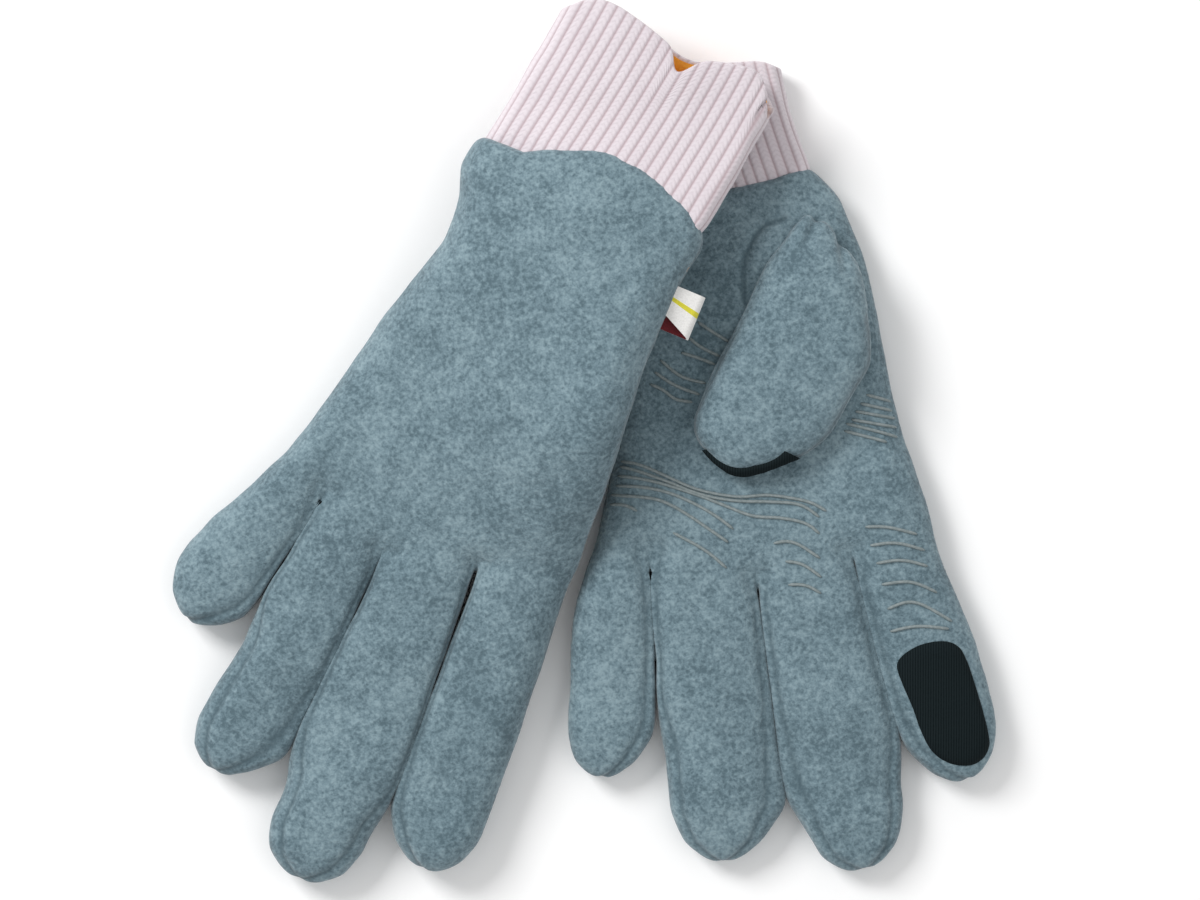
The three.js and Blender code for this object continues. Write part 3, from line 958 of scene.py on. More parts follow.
def shaped_skin(side):
    points, quads = skins[side]
    edges = edges_of(quads)
    points = smoothed(points, edges, SMOOTH_ROUNDS)
    points = swell(points, solids[side], PUFF_CAP)
    points = smoothed(points, edges, 6)
    near = crotch_share(side, points)
    measure, nearest = seam_measure(points, group_names(side))
    rounded = smoothed(points, edges, CROTCH_ROUNDS)
    points += near[:, None] * (rounded - points)
    for fade_rounds, gain in LEAN_PASSES:
        points = leaned(side, points, quads, edges, fade_rounds, gain)
    points = bulged(side, points)
    normals = vertex_normals(points, quads)
    groove = np.exp(-((measure / SEAM_WIDTH) ** 2)) * (1 - 0.5 * near)
    groove = np.maximum(groove, palm_seam(points) if side == "left" else 0)
    points -= normals * (groove * SEAM_DEPTH)[:, None]
    points += normals * waves(points, *BROAD_WAVES, 3 if side == "left" else 8)[:, None]
    points += normals * waves(points, *SMALL_WAVES, 5)[:, None]
    if side == "left":
        away = np.linalg.norm(points[:, :2] - THUMB_ROOT, axis=1)
        rise = THUMB_ROOT_RISE * np.exp(-((away / THUMB_ROOT_REACH) ** 2))
        points[:, 2] += rise * (normals[:, 2] > 0)
    points = smoothed(points, edges, 2)
    points[:, 2] = np.maximum(points[:, 2], LOWEST[side])
    open_end = (nearest > OPEN_END) & (points[:, 1] > WRIST_FROM)
    kept = quads[~open_end[quads].all(axis=1)]
    points = hemmed(side, points)
    normals = vertex_normals(points, quads)
    return {"points": points, "quads": kept, "normals": normals, "seam": groove}


for side in SIDES:
    bodies[side] = shaped_skin(side)
    print(side, "skin", len(bodies[side]["quads"]), "quads")


# %% Part the skins into sewn pieces
def turn_with_finger(piece):
    """Bakes the piece's place into its points."""
    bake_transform(piece)


def add_skin_pieces(side):
    skin = bodies[side]
    owner = nearest_owner(skin["points"], skin["quads"], skin_names[side])
    for number, name in enumerate(skin_names[side]):
        own = skin["quads"][owner == number]
        mesh = walled_mesh(name, skin["points"], skin["normals"], own, SKIN, skin["seam"])
        piece = add_object(f"{name}_skin", mesh, FLEECE)
        if finger_of(name):
            turn_with_finger(piece)
        else:
            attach(piece, f"{side}_glove")
        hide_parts(name)
        declare_sheet(piece, name)


for side in SIDES:
    add_skin_pieces(side)
    print(side, "skin pieces", len(skin_names[side]))

# %% [markdown]
# ## Thumbs
#
# The thumb is a wide hood set over a hole in the palm. On the left glove it lies folded over the
# palm, so its back shows. It is made like the skins, as one closed form, dented along the seam
# round its edge, with three pleats at its base. A low foot under its base sews it to the palm.

# %% Thumbs
THUMB_FOOT = 14.0  # the part of the thumb's root that sits down on the palm
THUMB_SINK = 3.0
THUMB_SKIN = 1.2
PLEATS = ((-8.0, -0.3, 20), (-2.0, -0.15, 14), (5.0, 0.35, 18))  # offset, lean and reach
PLEAT_WIDTH, PLEAT_DEPTH = 1.5, 1.6
THUMB_SEAM_FROM = (18, 26)  # the seam round the thumb fades in past its root
THUMB_WAVES = (18, 0.8)
thumbs = {}

LEFT_THUMB = [
    (58, 65.5), (64.7, 68.4), (69.6, 66.7), (74.2, 61.8), (77.5, 56.6), (81.0, 48.7), (83.4, 30),
    (83, 22), (77.4, 13.1), (71.6, 2.6), (65.8, -2.7), (60.6, -5.0), (46.4, -8.8), (39.2, -6.6),
    (32.8, -1.2), (30.7, 2), (29.9, 6.7), (30.7, 10.4), (34.8, 16.2), (40, 23.5), (44.4, 31.3),
    (49.6, 40.3), (54.2, 48.1), (55.5, 55),
]
# Inset from the outline and height above the palm, from the underside to the crown
THUMB_LEVELS = [(4.5, 0.9), (1.2, 2.6), (0.2, 5.0), (1.2, 8.0), (4.0, 10.2), (8.0, 11.6)]
THUMB_BASE_SHARE = 0.72  # height left at the very base


def left_thumb_solid():
    """The wide hood of the folded thumb: its outline at several heights, lower at its base."""
    outline = spline(LEFT_THUMB, 2.0, closed=True)
    place, along = hinge("left_thumb_lift")
    run = np.roll(outline, -1, axis=0) - np.roll(outline, 1, axis=0)
    outward = np.column_stack([run[:, 1], -run[:, 0]])
    outward /= np.linalg.norm(outward, axis=1, keepdims=True)
    if ((outline - outline.mean(axis=0)) * outward).sum() < 0:
        outward = -outward
    points = []
    for inset, height in THUMB_LEVELS:
        plan = outline - inset * outward
        forward = (plan - place[:2]) @ along[:2]
        share = THUMB_BASE_SHARE + (1 - THUMB_BASE_SHARE) * ease(forward, 0, 22)
        points.append(np.column_stack([plan, place[2] + height * share]))
    foot = points[0][(points[0][:, :2] - place[:2]) @ along[:2] < THUMB_FOOT]
    return hull(np.vstack(points + [foot - THUMB_SINK * UP]))


def thumb_solid(side):
    if side == "left":
        return left_thumb_solid()
    points = np.vstack([node_points(f"{side}_thumb_{face}") for face in ("back", "palm")])
    place, along = hinge(f"{side}_thumb_lift")
    root = points[(points - place) @ along < THUMB_FOOT]
    return hull(np.vstack([points, root + THUMB_SINK * UP]))


def pleats(points, side):
    """Three soft folds that run from the base of the thumb towards its tip."""
    place, along = hinge(f"{side}_thumb_lift")
    aside = np.cross(UP, along)
    forward = (points - place) @ along
    sideways = (points - place) @ aside
    folds = np.zeros(len(points))
    for offset, lean, reach in PLEATS:
        line = sideways - offset - lean * forward
        folds += np.exp(-((line / PLEAT_WIDTH) ** 2)) * ease(forward, reach, reach / 3)
    return folds


def shaped_thumb(side):
    solid = thumb_solid(side)
    points, quads = voxel_skin([solid], VOXEL)
    edges = edges_of(quads)
    points = smoothed(points, edges, SMOOTH_ROUNDS)
    points = smoothed(swell(points, [solid], PUFF_CAP), edges, 6)
    groups = [[f"{side}_thumb_back"], [f"{side}_thumb_palm"]]
    normals = vertex_normals(points, quads)
    measure, _ = seam_measure(points, groups)
    groove = np.exp(-((measure / SEAM_WIDTH) ** 2))
    place, along = hinge(f"{side}_thumb_lift")
    groove *= ease((points - place) @ along, *THUMB_SEAM_FROM)
    folds = pleats(points, side)
    points -= normals * (groove * SEAM_DEPTH * 0.8 + folds * PLEAT_DEPTH)[:, None]
    points += normals * waves(points, *THUMB_WAVES, 12)[:, None]
    points = smoothed(points, edges, 2)
    # the pleats join the seam mark, so their folds get painted shade as well
    seam = np.clip(groove + 0.6 * folds, 0, 1)
    return {
        "points": points,
        "quads": quads,
        "normals": vertex_normals(points, quads),
        "seam": seam,
    }


def turn_with_thumb(piece):
    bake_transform(piece)


def add_thumb(side):
    thumbs[side] = shaped_thumb(side)
    skin = thumbs[side]
    names = [f"{side}_thumb_back", f"{side}_thumb_palm"]
    owner = nearest_owner(skin["points"], skin["quads"], names)
    for number, name in enumerate(names):
        own = skin["quads"][owner == number]
        mesh = walled_mesh(name, skin["points"], skin["normals"], own, THUMB_SKIN, skin["seam"])
        piece = add_object(f"{name}_skin", mesh, FLEECE)
        turn_with_thumb(piece)
        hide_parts(name)
        declare_sheet(piece, name)


for side in SIDES:
    add_thumb(side)
print("thumbs", {side: len(thumbs[side]["quads"]) for side in SIDES})

# %% [markdown]
# ## Cuffs
#
# The cuff is rib knit folded double, so its mouth is a rounded fold and no cut edge shows. Every
# rib is modelled, about 3.3 mm wide with a narrow groove between, because ribs catch the
# light as a shape. It is a tube with one wall that runs out, round the fold and back in. The wrist
# end tucks under the fleece, past its wavy hem. The orange facing is a thin plain tube inside it.

# %% Cuff sections
RIB_PITCH = 3.3
RIB_STEPS = 8
RIB_RELIEF = 0.4
GROOVE_HALF = 0.38
CUFF_WALL = 2.0
CUFF_INSET = 0.8  # the ribs stand out from here
CUFF_ROWS = 22
FACING_COLUMNS = 120
LIP_ROWS = 6
EDGE_ROLL = 8.0
SECTION_STEPS = 2400  # fine steps round a section, before it is spaced evenly
SECTION_FLAT, SECTION_POWER = 1.6, 0.9  # how flat the pressed tube is above and below
STITCH = 1.5  # length of one knitted stitch
TUCK = 5.0  # how far the cuff runs under the fleece


def cuff_plan(cuff, share, t):
    """Plan point at a share across, and at t along from the seam (0) to the end (1)."""
    seam, middle, end = (row_point(cuff[key], share) for key in ("seam", "middle", "end"))
    return seam * (1 - t) * (1 - 2 * t) + middle * 4 * t * (1 - t) + end * t * (2 * t - 1)


def section(width, thick, inset, columns):
    """Evenly spaced distances across and heights round a pressed tube, and its length round."""
    angles = np.linspace(0, 2 * np.pi, SECTION_STEPS, endpoint=False)
    flat_half = width / 2 - EDGE_ROLL
    roll, half = EDGE_ROLL - inset, thick / 2 - inset
    x = roll * np.cos(angles) + flat_half * np.clip(np.cos(angles) * SECTION_FLAT, -1, 1)
    z = half * np.sign(np.sin(angles)) * np.abs(np.sin(angles)) ** SECTION_POWER
    step = np.hypot(np.diff(x, append=x[0]), np.diff(z, append=z[0]))
    run = np.concatenate([[0], np.cumsum(step)])
    even = np.linspace(0, run[-1], columns, endpoint=False)
    x_even = np.interp(even, run, np.append(x, x[0]))
    z_even = np.interp(even, run, np.append(z, z[0]))
    return x_even, z_even, run[-1]


def dip_of(cuff, x, z, width, thick):
    """How far back from a straight line the fold lies: its wave, and slips of the upper layer."""
    share = 2 * x / width
    slip = sum(
        depth * math.exp(-(((share - at) / spread) ** 2)) for at, spread, depth in cuff["dips"]
    )
    around = share + np.linspace(-0.08, 0.08, 5)
    reach = np.interp(around, *zip(*cuff["mouth"])).mean()
    return slip * ease(z / thick, -0.1, 0.12) - reach


def cuff_width(cuff, t):
    return np.linalg.norm(cuff_plan(cuff, 1, t) - cuff_plan(cuff, -1, t))


def cuff_surface(side, inset, columns, t):
    """Points round the cuff at t along, this far in from its outside."""
    cuff = CUFFS[side]
    width = cuff_width(cuff, t)
    x, z, _ = section(width, cuff["thick"], inset, columns)
    length = np.linalg.norm(cuff_plan(cuff, 0, 1) - cuff_plan(cuff, 0, 0))
    ring = []
    for own_x, own_z in zip(x, z):
        slip = dip_of(cuff, own_x, own_z, width, cuff["thick"]) * ease(t, 0.45, 1) / length
        plan = cuff_plan(cuff, 2 * own_x / width, t - slip)
        height = drape(*plan) if side == "right" else 0
        ring.append((plan[0], plan[1], height + cuff["thick"] / 2 + own_z))
    return np.array(ring)


def ring_normals(ring):
    """Outward normals of a ring, square to its own run."""
    run = np.roll(ring, -1, axis=0) - np.roll(ring, 1, axis=0)
    tube = np.array([0.0, 1.0, 0.0])
    normals = np.cross(run, tube)
    normals /= np.maximum(np.linalg.norm(normals, axis=1, keepdims=True), 1e-9)
    outward = ring - ring.mean(axis=0)
    sign = np.sign((normals * outward).sum())
    return normals * sign


def grid_mesh(name, rows, groove=None, uvs=None):
    """A closed ring solid: rows of points, the last one joined to the first."""
    count, columns = len(rows), len(rows[0])
    points = np.vstack(rows)
    index = np.arange(count * columns).reshape(count, columns)
    nxt = np.roll(index, -1, axis=0)
    faces = np.stack([index, np.roll(index, -1, 1), np.roll(nxt, -1, 1), nxt], axis=-1).reshape(-1, 4)
    mesh = plain_mesh(name, points, faces)
    if mesh_volume(mesh) < 0:
        mesh.flip_normals()
    smooth_shaded(mesh)
    if groove is not None:
        mark = mesh.attributes.new("groove", "FLOAT", "POINT")
        mark.data.foreach_set("value", np.concatenate(groove).astype(np.float32))
        layer = mesh.uv_layers.new(name="knit")
        flat = np.vstack(uvs)
        corners = np.empty(len(mesh.loops), dtype=np.int32)
        mesh.loops.foreach_get("vertex_index", corners)
        layer.data.foreach_set("uv", flat[corners].astype(np.float32).ravel())
    return mesh


def rib_cuff(side):
    cuff = CUFFS[side]
    _, _, round_length = section(cuff_width(cuff, 0.5), cuff["thick"], 0, 8)
    ribs = round(round_length / RIB_PITCH)
    columns = ribs * RIB_STEPS
    phase = np.arange(columns) / RIB_STEPS
    from_groove = np.minimum(phase % 1, 1 - phase % 1) * RIB_PITCH
    profile = 1 - np.exp(-((from_groove / GROOVE_HALF) ** 2))
    length = np.linalg.norm(cuff_plan(cuff, 0, 1) - cuff_plan(cuff, 0, 0))
    rows, grooves, uvs = [], [], []

    def add_row(t, depth, out):
        outer = cuff_surface(side, CUFF_INSET, columns, t)
        normals = ring_normals(outer)
        ring = outer - normals * depth
        wobble = waves(ring, 14, 0.7, 21) + waves(ring, 5, 0.2, 4)
        lift = RIB_RELIEF * profile * out + wobble * max(out, 0)
        rows.append(ring + normals * lift[:, None])
        # the groove mark gives painted shade between the ribs: strongest on the outside, weakest at
        # the top of the fold
        grooves.append((1 - profile) * (0.4 + 0.6 * abs(out)))
        uvs.append(np.column_stack([phase, np.full(columns, (t * length + depth) / STITCH)]))

    start = -TUCK / length
    for t in np.linspace(start, 1, CUFF_ROWS):
        add_row(t, 0 if t > 0 else 0.5, 1)
    for turn in np.linspace(0, np.pi, LIP_ROWS + 2)[1:-1]:
        bulge = CUFF_WALL / 2 * math.sin(turn) / length
        add_row(1 + bulge, CUFF_WALL / 2 * (1 - math.cos(turn)), math.cos(turn))
    for t in np.linspace(1, start, CUFF_ROWS // 2):
        add_row(t, CUFF_WALL, -0.5)
    return grid_mesh(f"{side}_rib_cuff", rows, grooves, uvs), ribs


def facing_tube(side):
    """The orange facing inside the cuff: a thin plain tube."""
    rows = []
    for depth, shares in ((3.1, np.linspace(0.02, 0.985, 10)), (3.9, np.linspace(0.985, 0.02, 10))):
        for t in shares:
            rows.append(cuff_surface(side, depth, FACING_COLUMNS, t))
    return grid_mesh(f"{side}_cuff_facing", rows)


# %% Add the cuffs and facings
def add_cuff(side):
    mesh, ribs = rib_cuff(side)
    cuff = add_object(f"{side}_rib_cuff_knit", mesh, RIB)
    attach(cuff, f"{side}_glove")
    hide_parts(f"{side}_rib_cuff")
    declare_sheet(cuff, f"{side}_rib_cuff")
    facing = add_object(f"{side}_cuff_facing_cloth", facing_tube(side), LINING)
    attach(facing, f"{side}_glove")
    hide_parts(f"{side}_cuff_facing")
    declare_sheet(facing, f"{side}_cuff_facing")
    return ribs


print("ribs round each cuff", {side: add_cuff(side) for side in SIDES})

# %% [markdown]
# ## Lining
#
# Inside the hand the lining is a plain soft tube of orange cloth, seen only down the cuff. It is the
# frame's own tube with its facets divided and rounded, and its mouth drawn back under the hem.

# %% Linings
LINING_CUTS = 2
LINING_SINK = 7.0  # its mouth is drawn back this far
LINING_EASE = 40.0  # and the rest follows over this length


def sunk(side, points):
    """The lining's mouth drawn back into the hand."""
    middle, _, up, _ = row_axes(CUFFS[side]["seam"])
    behind = (middle - points[:, :2]) @ up
    moved = points.copy()
    moved[:, :2] -= LINING_SINK * (1 - ease(behind, 0, LINING_EASE))[:, None] * up
    return moved


def add_lining(side):
    name = f"{side}_hand_lining"
    bm = bmesh.new()
    bm.from_mesh(frame["nodes"][name].data)
    bmesh.ops.remove_doubles(bm, verts=bm.verts, dist=1e-6)
    bmesh.ops.subdivide_edges(bm, edges=bm.edges, cuts=LINING_CUTS, use_grid_fill=True)
    bmesh.ops.smooth_vert(
        bm, verts=bm.verts, factor=0.3, use_axis_x=True, use_axis_y=True, use_axis_z=True
    )
    mesh = bpy.data.meshes.new(name)
    bm.to_mesh(mesh)
    bm.free()
    drawn_back = sunk(side, read_mesh(mesh)) * MM
    mesh.vertices.foreach_set("co", drawn_back.astype(np.float32).ravel())
    smooth_shaded(mesh)
    lining = add_object(f"{name}_cloth", mesh, LINING)
    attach(lining, f"{side}_glove")
    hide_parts(name)
    declare_sheet(lining, name)


for side in SIDES:
    add_lining(side)
print("linings added")

# %% [markdown]
# ## Projecting onto the skins
#
# The pads and the grip lines lie on the fabric, so their points are dropped onto the skins along a
# direction. A search tree over a finished skin answers where that is.


# %% Projection
DROP_FROM = 60  # points are dropped from this far away


def skin_tree(skin):
    return BVHTree.FromPolygons(skin["points"].tolist(), skin["quads"].tolist())


def dropped(tree, points, direction, lift):
    """Each point moved along the direction onto the skin, then lifted along its normal."""
    landed, normals = [], []
    way = Vector(direction)
    for point in points:
        start = Vector(point) - way * DROP_FROM
        place, normal, _, _ = tree.ray_cast(start, way)
        if place is None:
            place, normal, _, _ = tree.find_nearest(Vector(point))
        landed.append(place + normal * lift)
        normals.append(normal)
    return np.array(landed), np.array(normals)


trees = {side: skin_tree(bodies[side]) for side in SIDES}
thumb_trees = {side: skin_tree(thumbs[side]) for side in SIDES}

# %% [markdown]
# ## Touch pads
#
# A pad is a thin black patch of conductive knit over the fingertip, with its edge turned under.
# The left index finger's pad shows. It narrows towards its ends. The pads of the right glove and of
# the thumbs are under their tips. On the left thumb the pad comes up round the tip, so a dark
# sliver shows there.

# %% Index pads
PAD_WALL = 0.9
PAD_RINGS = 9
PAD_EDGE = 0.25  # height of its turned edge
PAD_SINK = 0.3  # its underside lies this far in the fleece
LEFT_PAD = [
    (90.5, -63.8), (92.5, -60.4), (97.7, -57.5), (104.0, -56.6), (108.3, -58.3), (110.9, -62.8),
    (113.0, -69.0), (115.2, -76.2), (117.0, -83.4), (117.3, -87.2), (115.4, -90.8),
    (111.5, -92.7), (105.8, -92.0), (100.9, -88.6), (97.7, -83.0), (95.1, -76.0), (92.3, -69.4),
]


def patch_mesh(name, tree, outline, direction):
    """A patch with a smooth outline, laid on the skin and closed underneath."""
    rim = spline(outline, 0.8, closed=True)
    centre = rim.mean(axis=0)
    columns = len(rim)
    layers = []
    shares = np.linspace(1, 0.08, PAD_RINGS)
    heights = [PAD_EDGE] + [PAD_WALL] * (PAD_RINGS - 1)
    for shares_now, heights_now in ((shares, heights), (shares[::-1], [-PAD_SINK] * PAD_RINGS)):
        for share, height in zip(shares_now, heights_now):
            flat = centre + (rim - centre) * share
            flat = np.column_stack([flat, np.zeros(columns)])
            layers.append(dropped(tree, flat, direction, height)[0])
    points = np.vstack(layers)
    index = np.arange(len(points)).reshape(-1, columns)
    nxt = np.roll(index, -1, axis=0)
    body = np.stack([index, np.roll(index, -1, 1), np.roll(nxt, -1, 1), nxt], axis=-1)
    keep = [i for i in range(len(index)) if i != PAD_RINGS - 1]
    faces = body[keep].reshape(-1, 4).tolist()
    faces += [index[PAD_RINGS - 1].tolist(), index[PAD_RINGS][::-1].tolist()]
    mesh = plain_mesh(name, points, faces)
    if mesh_volume(mesh) < 0:
        mesh.flip_normals()
    smooth_shaded(mesh)
    return mesh


def mirrored_pad():
    """The left pad's outline, turned onto the right index finger."""
    place, along = hinge("left_index_bend")
    aside = np.array([-along[1], along[0]])
    flat = np.array(LEFT_PAD) - place[:2]
    forward, sideways = flat @ along[:2], flat @ aside
    place, along = hinge("right_index_bend")
    aside = np.array([-along[1], along[0]])
    return place[:2] + np.outer(forward, along[:2]) - np.outer(sideways, aside)


def add_index_pad(side):
    name = f"{side}_index_touch_pad"
    outline = LEFT_PAD if side == "left" else mirrored_pad()
    direction = -UP if side == "left" else UP
    piece = add_object(f"{name}_knit", patch_mesh(name, trees[side], outline, direction), PAD)
    turn_with_finger(piece)
    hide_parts(name)
    declare_sheet(piece, name)


# %% Thumb pads
THUMB_PAD_TURNS = {"left": (-60, 82), "right": (-70, 70)}  # round the tip, in degrees
THUMB_PAD_TOPS = {"left": (-14, -34, -34), "right": (-20, -20, -20)}  # its upper edge
THUMB_PAD_LOW = 52  # its lower edge, on the underside
THUMB_PAD_STEPS = (40, 16)
THUMB_PAD_REACH = 26  # it is seen from the middle of this much of the tip


def border_of(grid):
    """The points round the edge of a grid, in order."""
    return np.concatenate([grid[0, :-1], grid[:-1, -1], grid[-1, :0:-1], grid[:0:-1, 0]])


def thumb_pad_mesh(side):
    """A patch over the underside of the tip, as seen from a point inside the thumb."""
    name = f"{side}_thumb_touch_pad"
    place, along = hinge(f"{side}_thumb_lift")
    palm_points = node_points(f"{side}_thumb_palm")
    forward = (palm_points - place) @ along
    tip = palm_points[forward > forward.max() - THUMB_PAD_REACH].mean(axis=0)
    down = -UP if side == "left" else UP
    aside = np.cross(UP, along)
    turns = np.radians(np.linspace(*THUMB_PAD_TURNS[side], THUMB_PAD_STEPS[0]))
    shares = np.linspace(0, 1, THUMB_PAD_STEPS[0])
    tops = np.radians(np.interp(shares, (0, 0.5, 1), THUMB_PAD_TOPS[side]))
    tree = thumb_trees[side]
    grid = []
    for inset in (PAD_WALL, -PAD_SINK):
        for fall in np.linspace(0, 1, THUMB_PAD_STEPS[1]):
            for turn, top in zip(turns, tops):
                dip = top + (math.radians(THUMB_PAD_LOW) - top) * fall
                level = math.cos(turn) * along + math.sin(turn) * aside
                way = math.cos(dip) * level + math.sin(dip) * down
                landed, _, _, _ = tree.ray_cast(Vector(tip), Vector(way))
                grid.append(np.array(landed) + inset * way)
    rows, columns = THUMB_PAD_STEPS[1], THUMB_PAD_STEPS[0]
    index = np.arange(2 * rows * columns).reshape(2, rows, columns)
    faces = []
    for layer in range(2):
        own = index[layer]
        faces += np.stack([own[:-1, :-1], own[:-1, 1:], own[1:, 1:], own[1:, :-1]], -1)[
            :, :, :: (1 if layer else -1)
        ].reshape(-1, 4).tolist()
    outer, inner = border_of(index[0]), border_of(index[1])
    count = len(outer)
    faces += [
        [outer[i], outer[(i + 1) % count], inner[(i + 1) % count], inner[i]] for i in range(count)
    ]
    mesh = plain_mesh(name, np.array(grid), faces)
    turn_faces_out(mesh)
    smooth_shaded(mesh)
    return mesh


def add_thumb_pad(side):
    name = f"{side}_thumb_touch_pad"
    piece = add_object(f"{name}_knit", thumb_pad_mesh(side), PAD)
    turn_with_thumb(piece)
    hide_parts(name)
    declare_sheet(piece, name)


for side in SIDES:
    add_index_pad(side)
    add_thumb_pad(side)
print("pads added")

# %% [markdown]
# ## Grip lines
#
# Thin raised lines of rubbery print cross the palm and the fingers, for grip. Each is a low bead
# that follows the fabric. They are grouped by the part of the glove that they lie on, and the
# lines on the hand go with the left glove.

# %% Grip line shapes
GRIP_WIDTH = 0.95
GRIP_HEIGHT = 0.7
GRIP_SIDES = 7
GRIP_LIFT = 0.15
GRIP_END_SHARE = 0.35  # a line's ends are this share of its full width
GRIP_LINES = {
    "hand": [
        [(31.9, 36.5), (36.8, 33.1), (42.6, 29.6)],
        [(29.3, 32.2), (33.4, 28.7), (40.0, 25.5)],
        [(27.0, 27.3), (32.8, 25.5), (38.6, 23.2)],
        [(21.2, 25.5), (27.0, 20.6), (31.6, 18.9), (36.0, 18.0)],
        [(19.4, 22.0), (25.8, 17.7), (34.2, 14.5)],
        [(18.0, 18.3), (23.2, 16.0), (25.8, 13.6), (32.2, 12.5)],
        [(80.6, 15.1), (90.5, 12.5)],
        [(78.9, 12.5), (90.8, 9.9)],
        [(77.4, 10.2), (91.1, 7.8)],
        [(76.3, 7.8), (91.4, 5.2)],
        [(74.8, 6.7), (85.3, 4.1), (91.6, 2.3)],
        [(74.2, 4.6), (82.1, 2.6), (88.5, 0.9)],
        [
            (9.6, -4.4), (16.0, -5.5), (24.7, -9.3), (31.3, -12.2), (38.0, -13.9), (45.2, -14.8),
            (52.5, -14.2), (59.7, -15.1), (65.8, -16.5), (70.8, -19.4),
        ],
        [
            (9.3, -5.8), (15.4, -7.3), (24.9, -10.7), (31.3, -13.3), (38.0, -15.1), (45.2, -16.0),
            (53.9, -16.2), (62.6, -17.1), (68.7, -21.2),
        ],
        [
            (8.7, -8.7), (14.8, -9.3), (22.6, -11.0), (33.4, -14.5), (40.9, -17.4),
            (48.7, -20.3), (57.1, -20.9), (64.4, -22.6), (68.7, -26.1),
        ],
        [(8.1, -11.6), (16.0, -11.9), (23.5, -13.3), (31.3, -16.5), (38.0, -20.3), (43.8, -24.7)],
        [(6.7, -14.2), (18.9, -15.1), (24.9, -17.1), (31.3, -20.9), (38.0, -25.5), (42.3, -28.4)],
        [(6.4, -17.1), (11.6, -17.1), (16.0, -19.4)],
    ],
    "ring": [[(24.7, -24.7), (34.8, -30.2), (41.8, -36.0)]],
    "middle": [
        [(53.7, -28.4), (60.3, -27.8), (69.0, -33.1)],
        [(57.1, -33.4), (62.9, -34.2), (69.3, -38.6)],
        [(58.0, -40.3), (63.8, -40.3), (69.3, -43.2)],
    ],
    "index": [
        [(80.3, -23.5), (87.6, -23.5), (97.2, -25.8)],
        [(81.8, -29.0), (90.2, -28.1), (99.5, -30.5)],
        [(83.5, -34.2), (91.9, -33.1), (100.3, -35.1)],
        [(85.0, -40.3), (94.5, -39.4), (103.0, -42.9)],
        [(86.7, -47.6), (95.4, -45.2), (107.3, -51.3)],
        [(87.6, -54.0), (96.3, -52.2), (106.4, -53.1)],
    ],
}


def bead(tree, line):
    """Points and faces of one closed bead along a line on the skin."""
    plan = spline(line, 1.0)
    flat = np.column_stack([plan, np.zeros(len(plan))])
    landed, normals = dropped(tree, flat, -UP, 0)
    edges = np.column_stack([np.arange(len(plan) - 1), np.arange(1, len(plan))])
    landed = smoothed(landed, edges, 3)
    run = np.gradient(landed, axis=0)
    run /= np.linalg.norm(run, axis=1, keepdims=True)
    aside = np.cross(run, UP)
    aside /= np.linalg.norm(aside, axis=1, keepdims=True)
    up = np.cross(aside, run)
    ends = np.minimum(np.arange(len(plan)), np.arange(len(plan))[::-1])
    taper = np.clip(GRIP_END_SHARE + ends / 3, 0, 1)[:, None]
    rings = []
    for angle in np.linspace(0, 2 * np.pi, GRIP_SIDES, endpoint=False):
        out = GRIP_WIDTH / 2 * math.cos(angle) * aside * taper
        rise = (GRIP_HEIGHT * math.sin(angle) + GRIP_LIFT) * up * taper
        rings.append(landed + out + rise)
    points = np.stack(rings, axis=1).reshape(-1, 3)
    index = np.arange(len(points)).reshape(-1, GRIP_SIDES)
    body = np.stack(
        [index[:-1], np.roll(index[:-1], -1, 1), np.roll(index[1:], -1, 1), index[1:]], axis=-1
    )
    faces = body.reshape(-1, 4).tolist() + [index[0][::-1].tolist(), index[-1].tolist()]
    return points, faces


def add_grip(region, lines):
    points, faces = joined([bead(trees["left"], line) for line in lines])
    name = f"left_{region}_grip_lines"
    mesh = plain_mesh(name, points, faces)
    turn_faces_out(mesh)
    smooth_shaded(mesh)
    piece = add_object(name, mesh, GRIP)
    if region == "hand":
        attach(piece, "left_glove")
    else:
        turn_with_finger(piece)


for region, lines in GRIP_LINES.items():
    add_grip(region, lines)
print("grip lines", sum(len(lines) for lines in GRIP_LINES.values()))

# %% [markdown]
# ## Loop label
#
# A short white ribbon folded double, with its ends in the thumb-side seam of the right glove. The
# inside of the ribbon is dark red, which shows at the lower end of the loop. Its face has one plain
# yellow stripe and no words.

# %% Label
LABEL_TOP, LABEL_LOW = np.array([26.9, 45.6]), np.array([21.9, 33.4])
LABEL_REACH = 8.4
LABEL_LOOP = 3.8
RIBBON = 0.7
STRIPE_ROW = 3  # the row of the ribbon that is yellow
LABEL_ROWS = 9
LABEL_DROOP = 0.24
LABEL_SETBACK = 4.0  # the upper layer of its lower end lies back, so the inside shows


def label_profile():
    """Outline of the folded ribbon: reach outwards and height, outer then inner."""
    half = LABEL_LOOP / 2
    outer, inner = [], []
    for turn in np.linspace(-np.pi / 2, np.pi / 2, 13):
        bend = LABEL_REACH - half
        outer.append((bend + half * math.cos(turn), half * math.sin(turn)))
        inner.append((bend + (half - RIBBON) * math.cos(turn), (half - RIBBON) * math.sin(turn)))
    straight = np.linspace(-1.5, LABEL_REACH - half, 8)[:-1]
    low = [(reach, -half) for reach in straight]
    high = [(reach, half) for reach in straight[::-1]]
    low_in = [(reach, -half + RIBBON) for reach in straight]
    high_in = [(reach, half - RIBBON) for reach in straight[::-1]]
    return np.array(low + outer + high), np.array(low_in + inner + high_in)


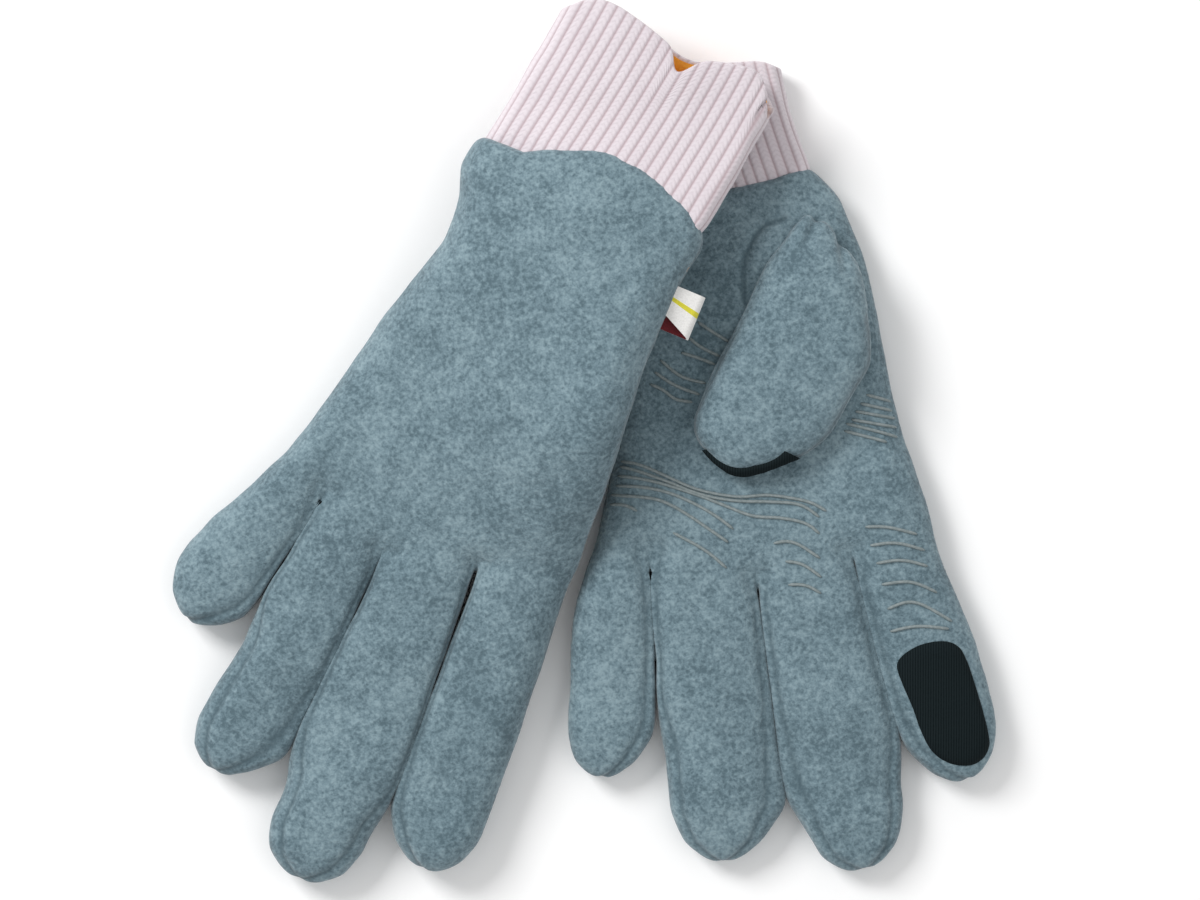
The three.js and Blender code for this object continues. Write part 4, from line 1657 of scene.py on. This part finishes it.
def add_label():
    outer, inner = label_profile()
    along = LABEL_LOW - LABEL_TOP
    length = np.linalg.norm(along)
    along = along / length
    out = np.array([-along[1], along[0]])
    level = drape(*LABEL_TOP) + CUFFS["right"]["thick"] / 2 - 1.0
    rows = []
    for share in np.linspace(0, 1, LABEL_ROWS):
        curl = 0.5 * math.sin(share * math.pi)
        for ring in (outer, inner):
            base = LABEL_TOP + along * length * share
            setback = LABEL_SETBACK * share * (ring[:, 1] > 0) * (1 - ring[:, 0] / LABEL_REACH)
            plan = base + np.outer(ring[:, 0], out) - np.outer(setback, along)
            height = level + ring[:, 1] - LABEL_DROOP * ring[:, 0] + curl
            rows.append(np.column_stack([plan, height]))
    count = len(outer)
    index = np.arange(len(rows) * count).reshape(-1, 2, count)
    faces, tones = [], []

    def quad(a, b, c, d, tone):
        faces.append([a, b, c, d])
        tones.append(tone)

    for row in range(len(index) - 1):
        for k in range(count - 1):
            for layer in (0, 1):
                own, nxt = index[row, layer], index[row + 1, layer]
                striped = layer == 0 and row == STRIPE_ROW
                quad(own[k], own[k + 1], nxt[k + 1], nxt[k], 2 if striped else layer)
        for k in (0, count - 1):
            own, nxt = index[row], index[row + 1]
            quad(own[0, k], own[1, k], nxt[1, k], nxt[0, k], 0)
    for row in (0, len(index) - 1):
        for k in range(count - 1):
            own = index[row]
            quad(own[0, k], own[0, k + 1], own[1, k + 1], own[1, k], 0)
    mesh = plain_mesh("right_loop_label", np.vstack(rows), faces)
    mesh.materials.append(LABEL)
    mesh.materials.append(LABEL_BACK)
    mesh.materials.append(LABEL_STRIPE)
    mesh.polygons.foreach_set("material_index", tones)
    turn_faces_out(mesh)
    label = add_object("right_loop_label_ribbon", mesh)
    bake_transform(label)
    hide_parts("right_loop_label")
    declare_sheet(label, "right_loop_label")


add_label()
print("label added")

# %% [markdown]
# ## Studio
#
# A white table, a bright even surround and one large soft lamp from the upper left, which gives the
# faint shadows between the fingers. The camera looks straight down from high up.

# %% Floor, light and camera
CAMERA_HEIGHT = 1.6
PICTURE_WIDTH = 0.348
VIEW_CENTRE = (0.0044, -0.0012)
CAMERA_REST = 0.013
SENSOR = 36
FLOOR_HALF = 3000


def add_floor():
    corners = [(-1, -1, 0), (1, -1, 0), (1, 1, 0), (-1, 1, 0)]
    mesh = plain_mesh("floor", FLOOR_HALF * np.array(corners), [(0, 1, 2, 3)])
    shader = Shader("white_table", 0.9)
    shader.colour((0.93, 0.93, 0.93))
    add_object("floor", mesh, shader.material)


def add_lamp(name, place, size, power, target=(0, 0, 0)):
    data = bpy.data.lights.new(name, "AREA")
    data.size = size
    data.energy = power
    lamp = bpy.data.objects.new(name, data)
    bpy.context.scene.collection.objects.link(lamp)
    lamp.location = place
    way = Vector(target) - Vector(place)
    lamp.rotation_euler = way.to_track_quat("-Z", "Y").to_euler()


def add_camera():
    data = bpy.data.cameras.new("camera")
    data.sensor_width = SENSOR
    data.lens = SENSOR * CAMERA_HEIGHT / PICTURE_WIDTH
    camera = bpy.data.objects.new("camera", data)
    bpy.context.scene.collection.objects.link(camera)
    camera.location = (*VIEW_CENTRE, CAMERA_HEIGHT + CAMERA_REST)
    bpy.context.scene.camera = camera


def add_surround():
    world = bpy.data.worlds.new("surround")
    world.use_nodes = True
    background = world.node_tree.nodes["Background"]
    background.inputs["Color"].default_value = (1, 1, 1, 1)
    background.inputs["Strength"].default_value = 0.65
    bpy.context.scene.world = world


add_floor()
add_lamp("key", (-0.9, 0.75, 1.05), 0.6, 18)
add_lamp("fill", (0.9, -0.3, 1.4), 1.2, 3)
add_surround()
add_camera()
scene = bpy.context.scene
scene.view_settings.view_transform = "Standard"
scene.view_settings.look = "None"
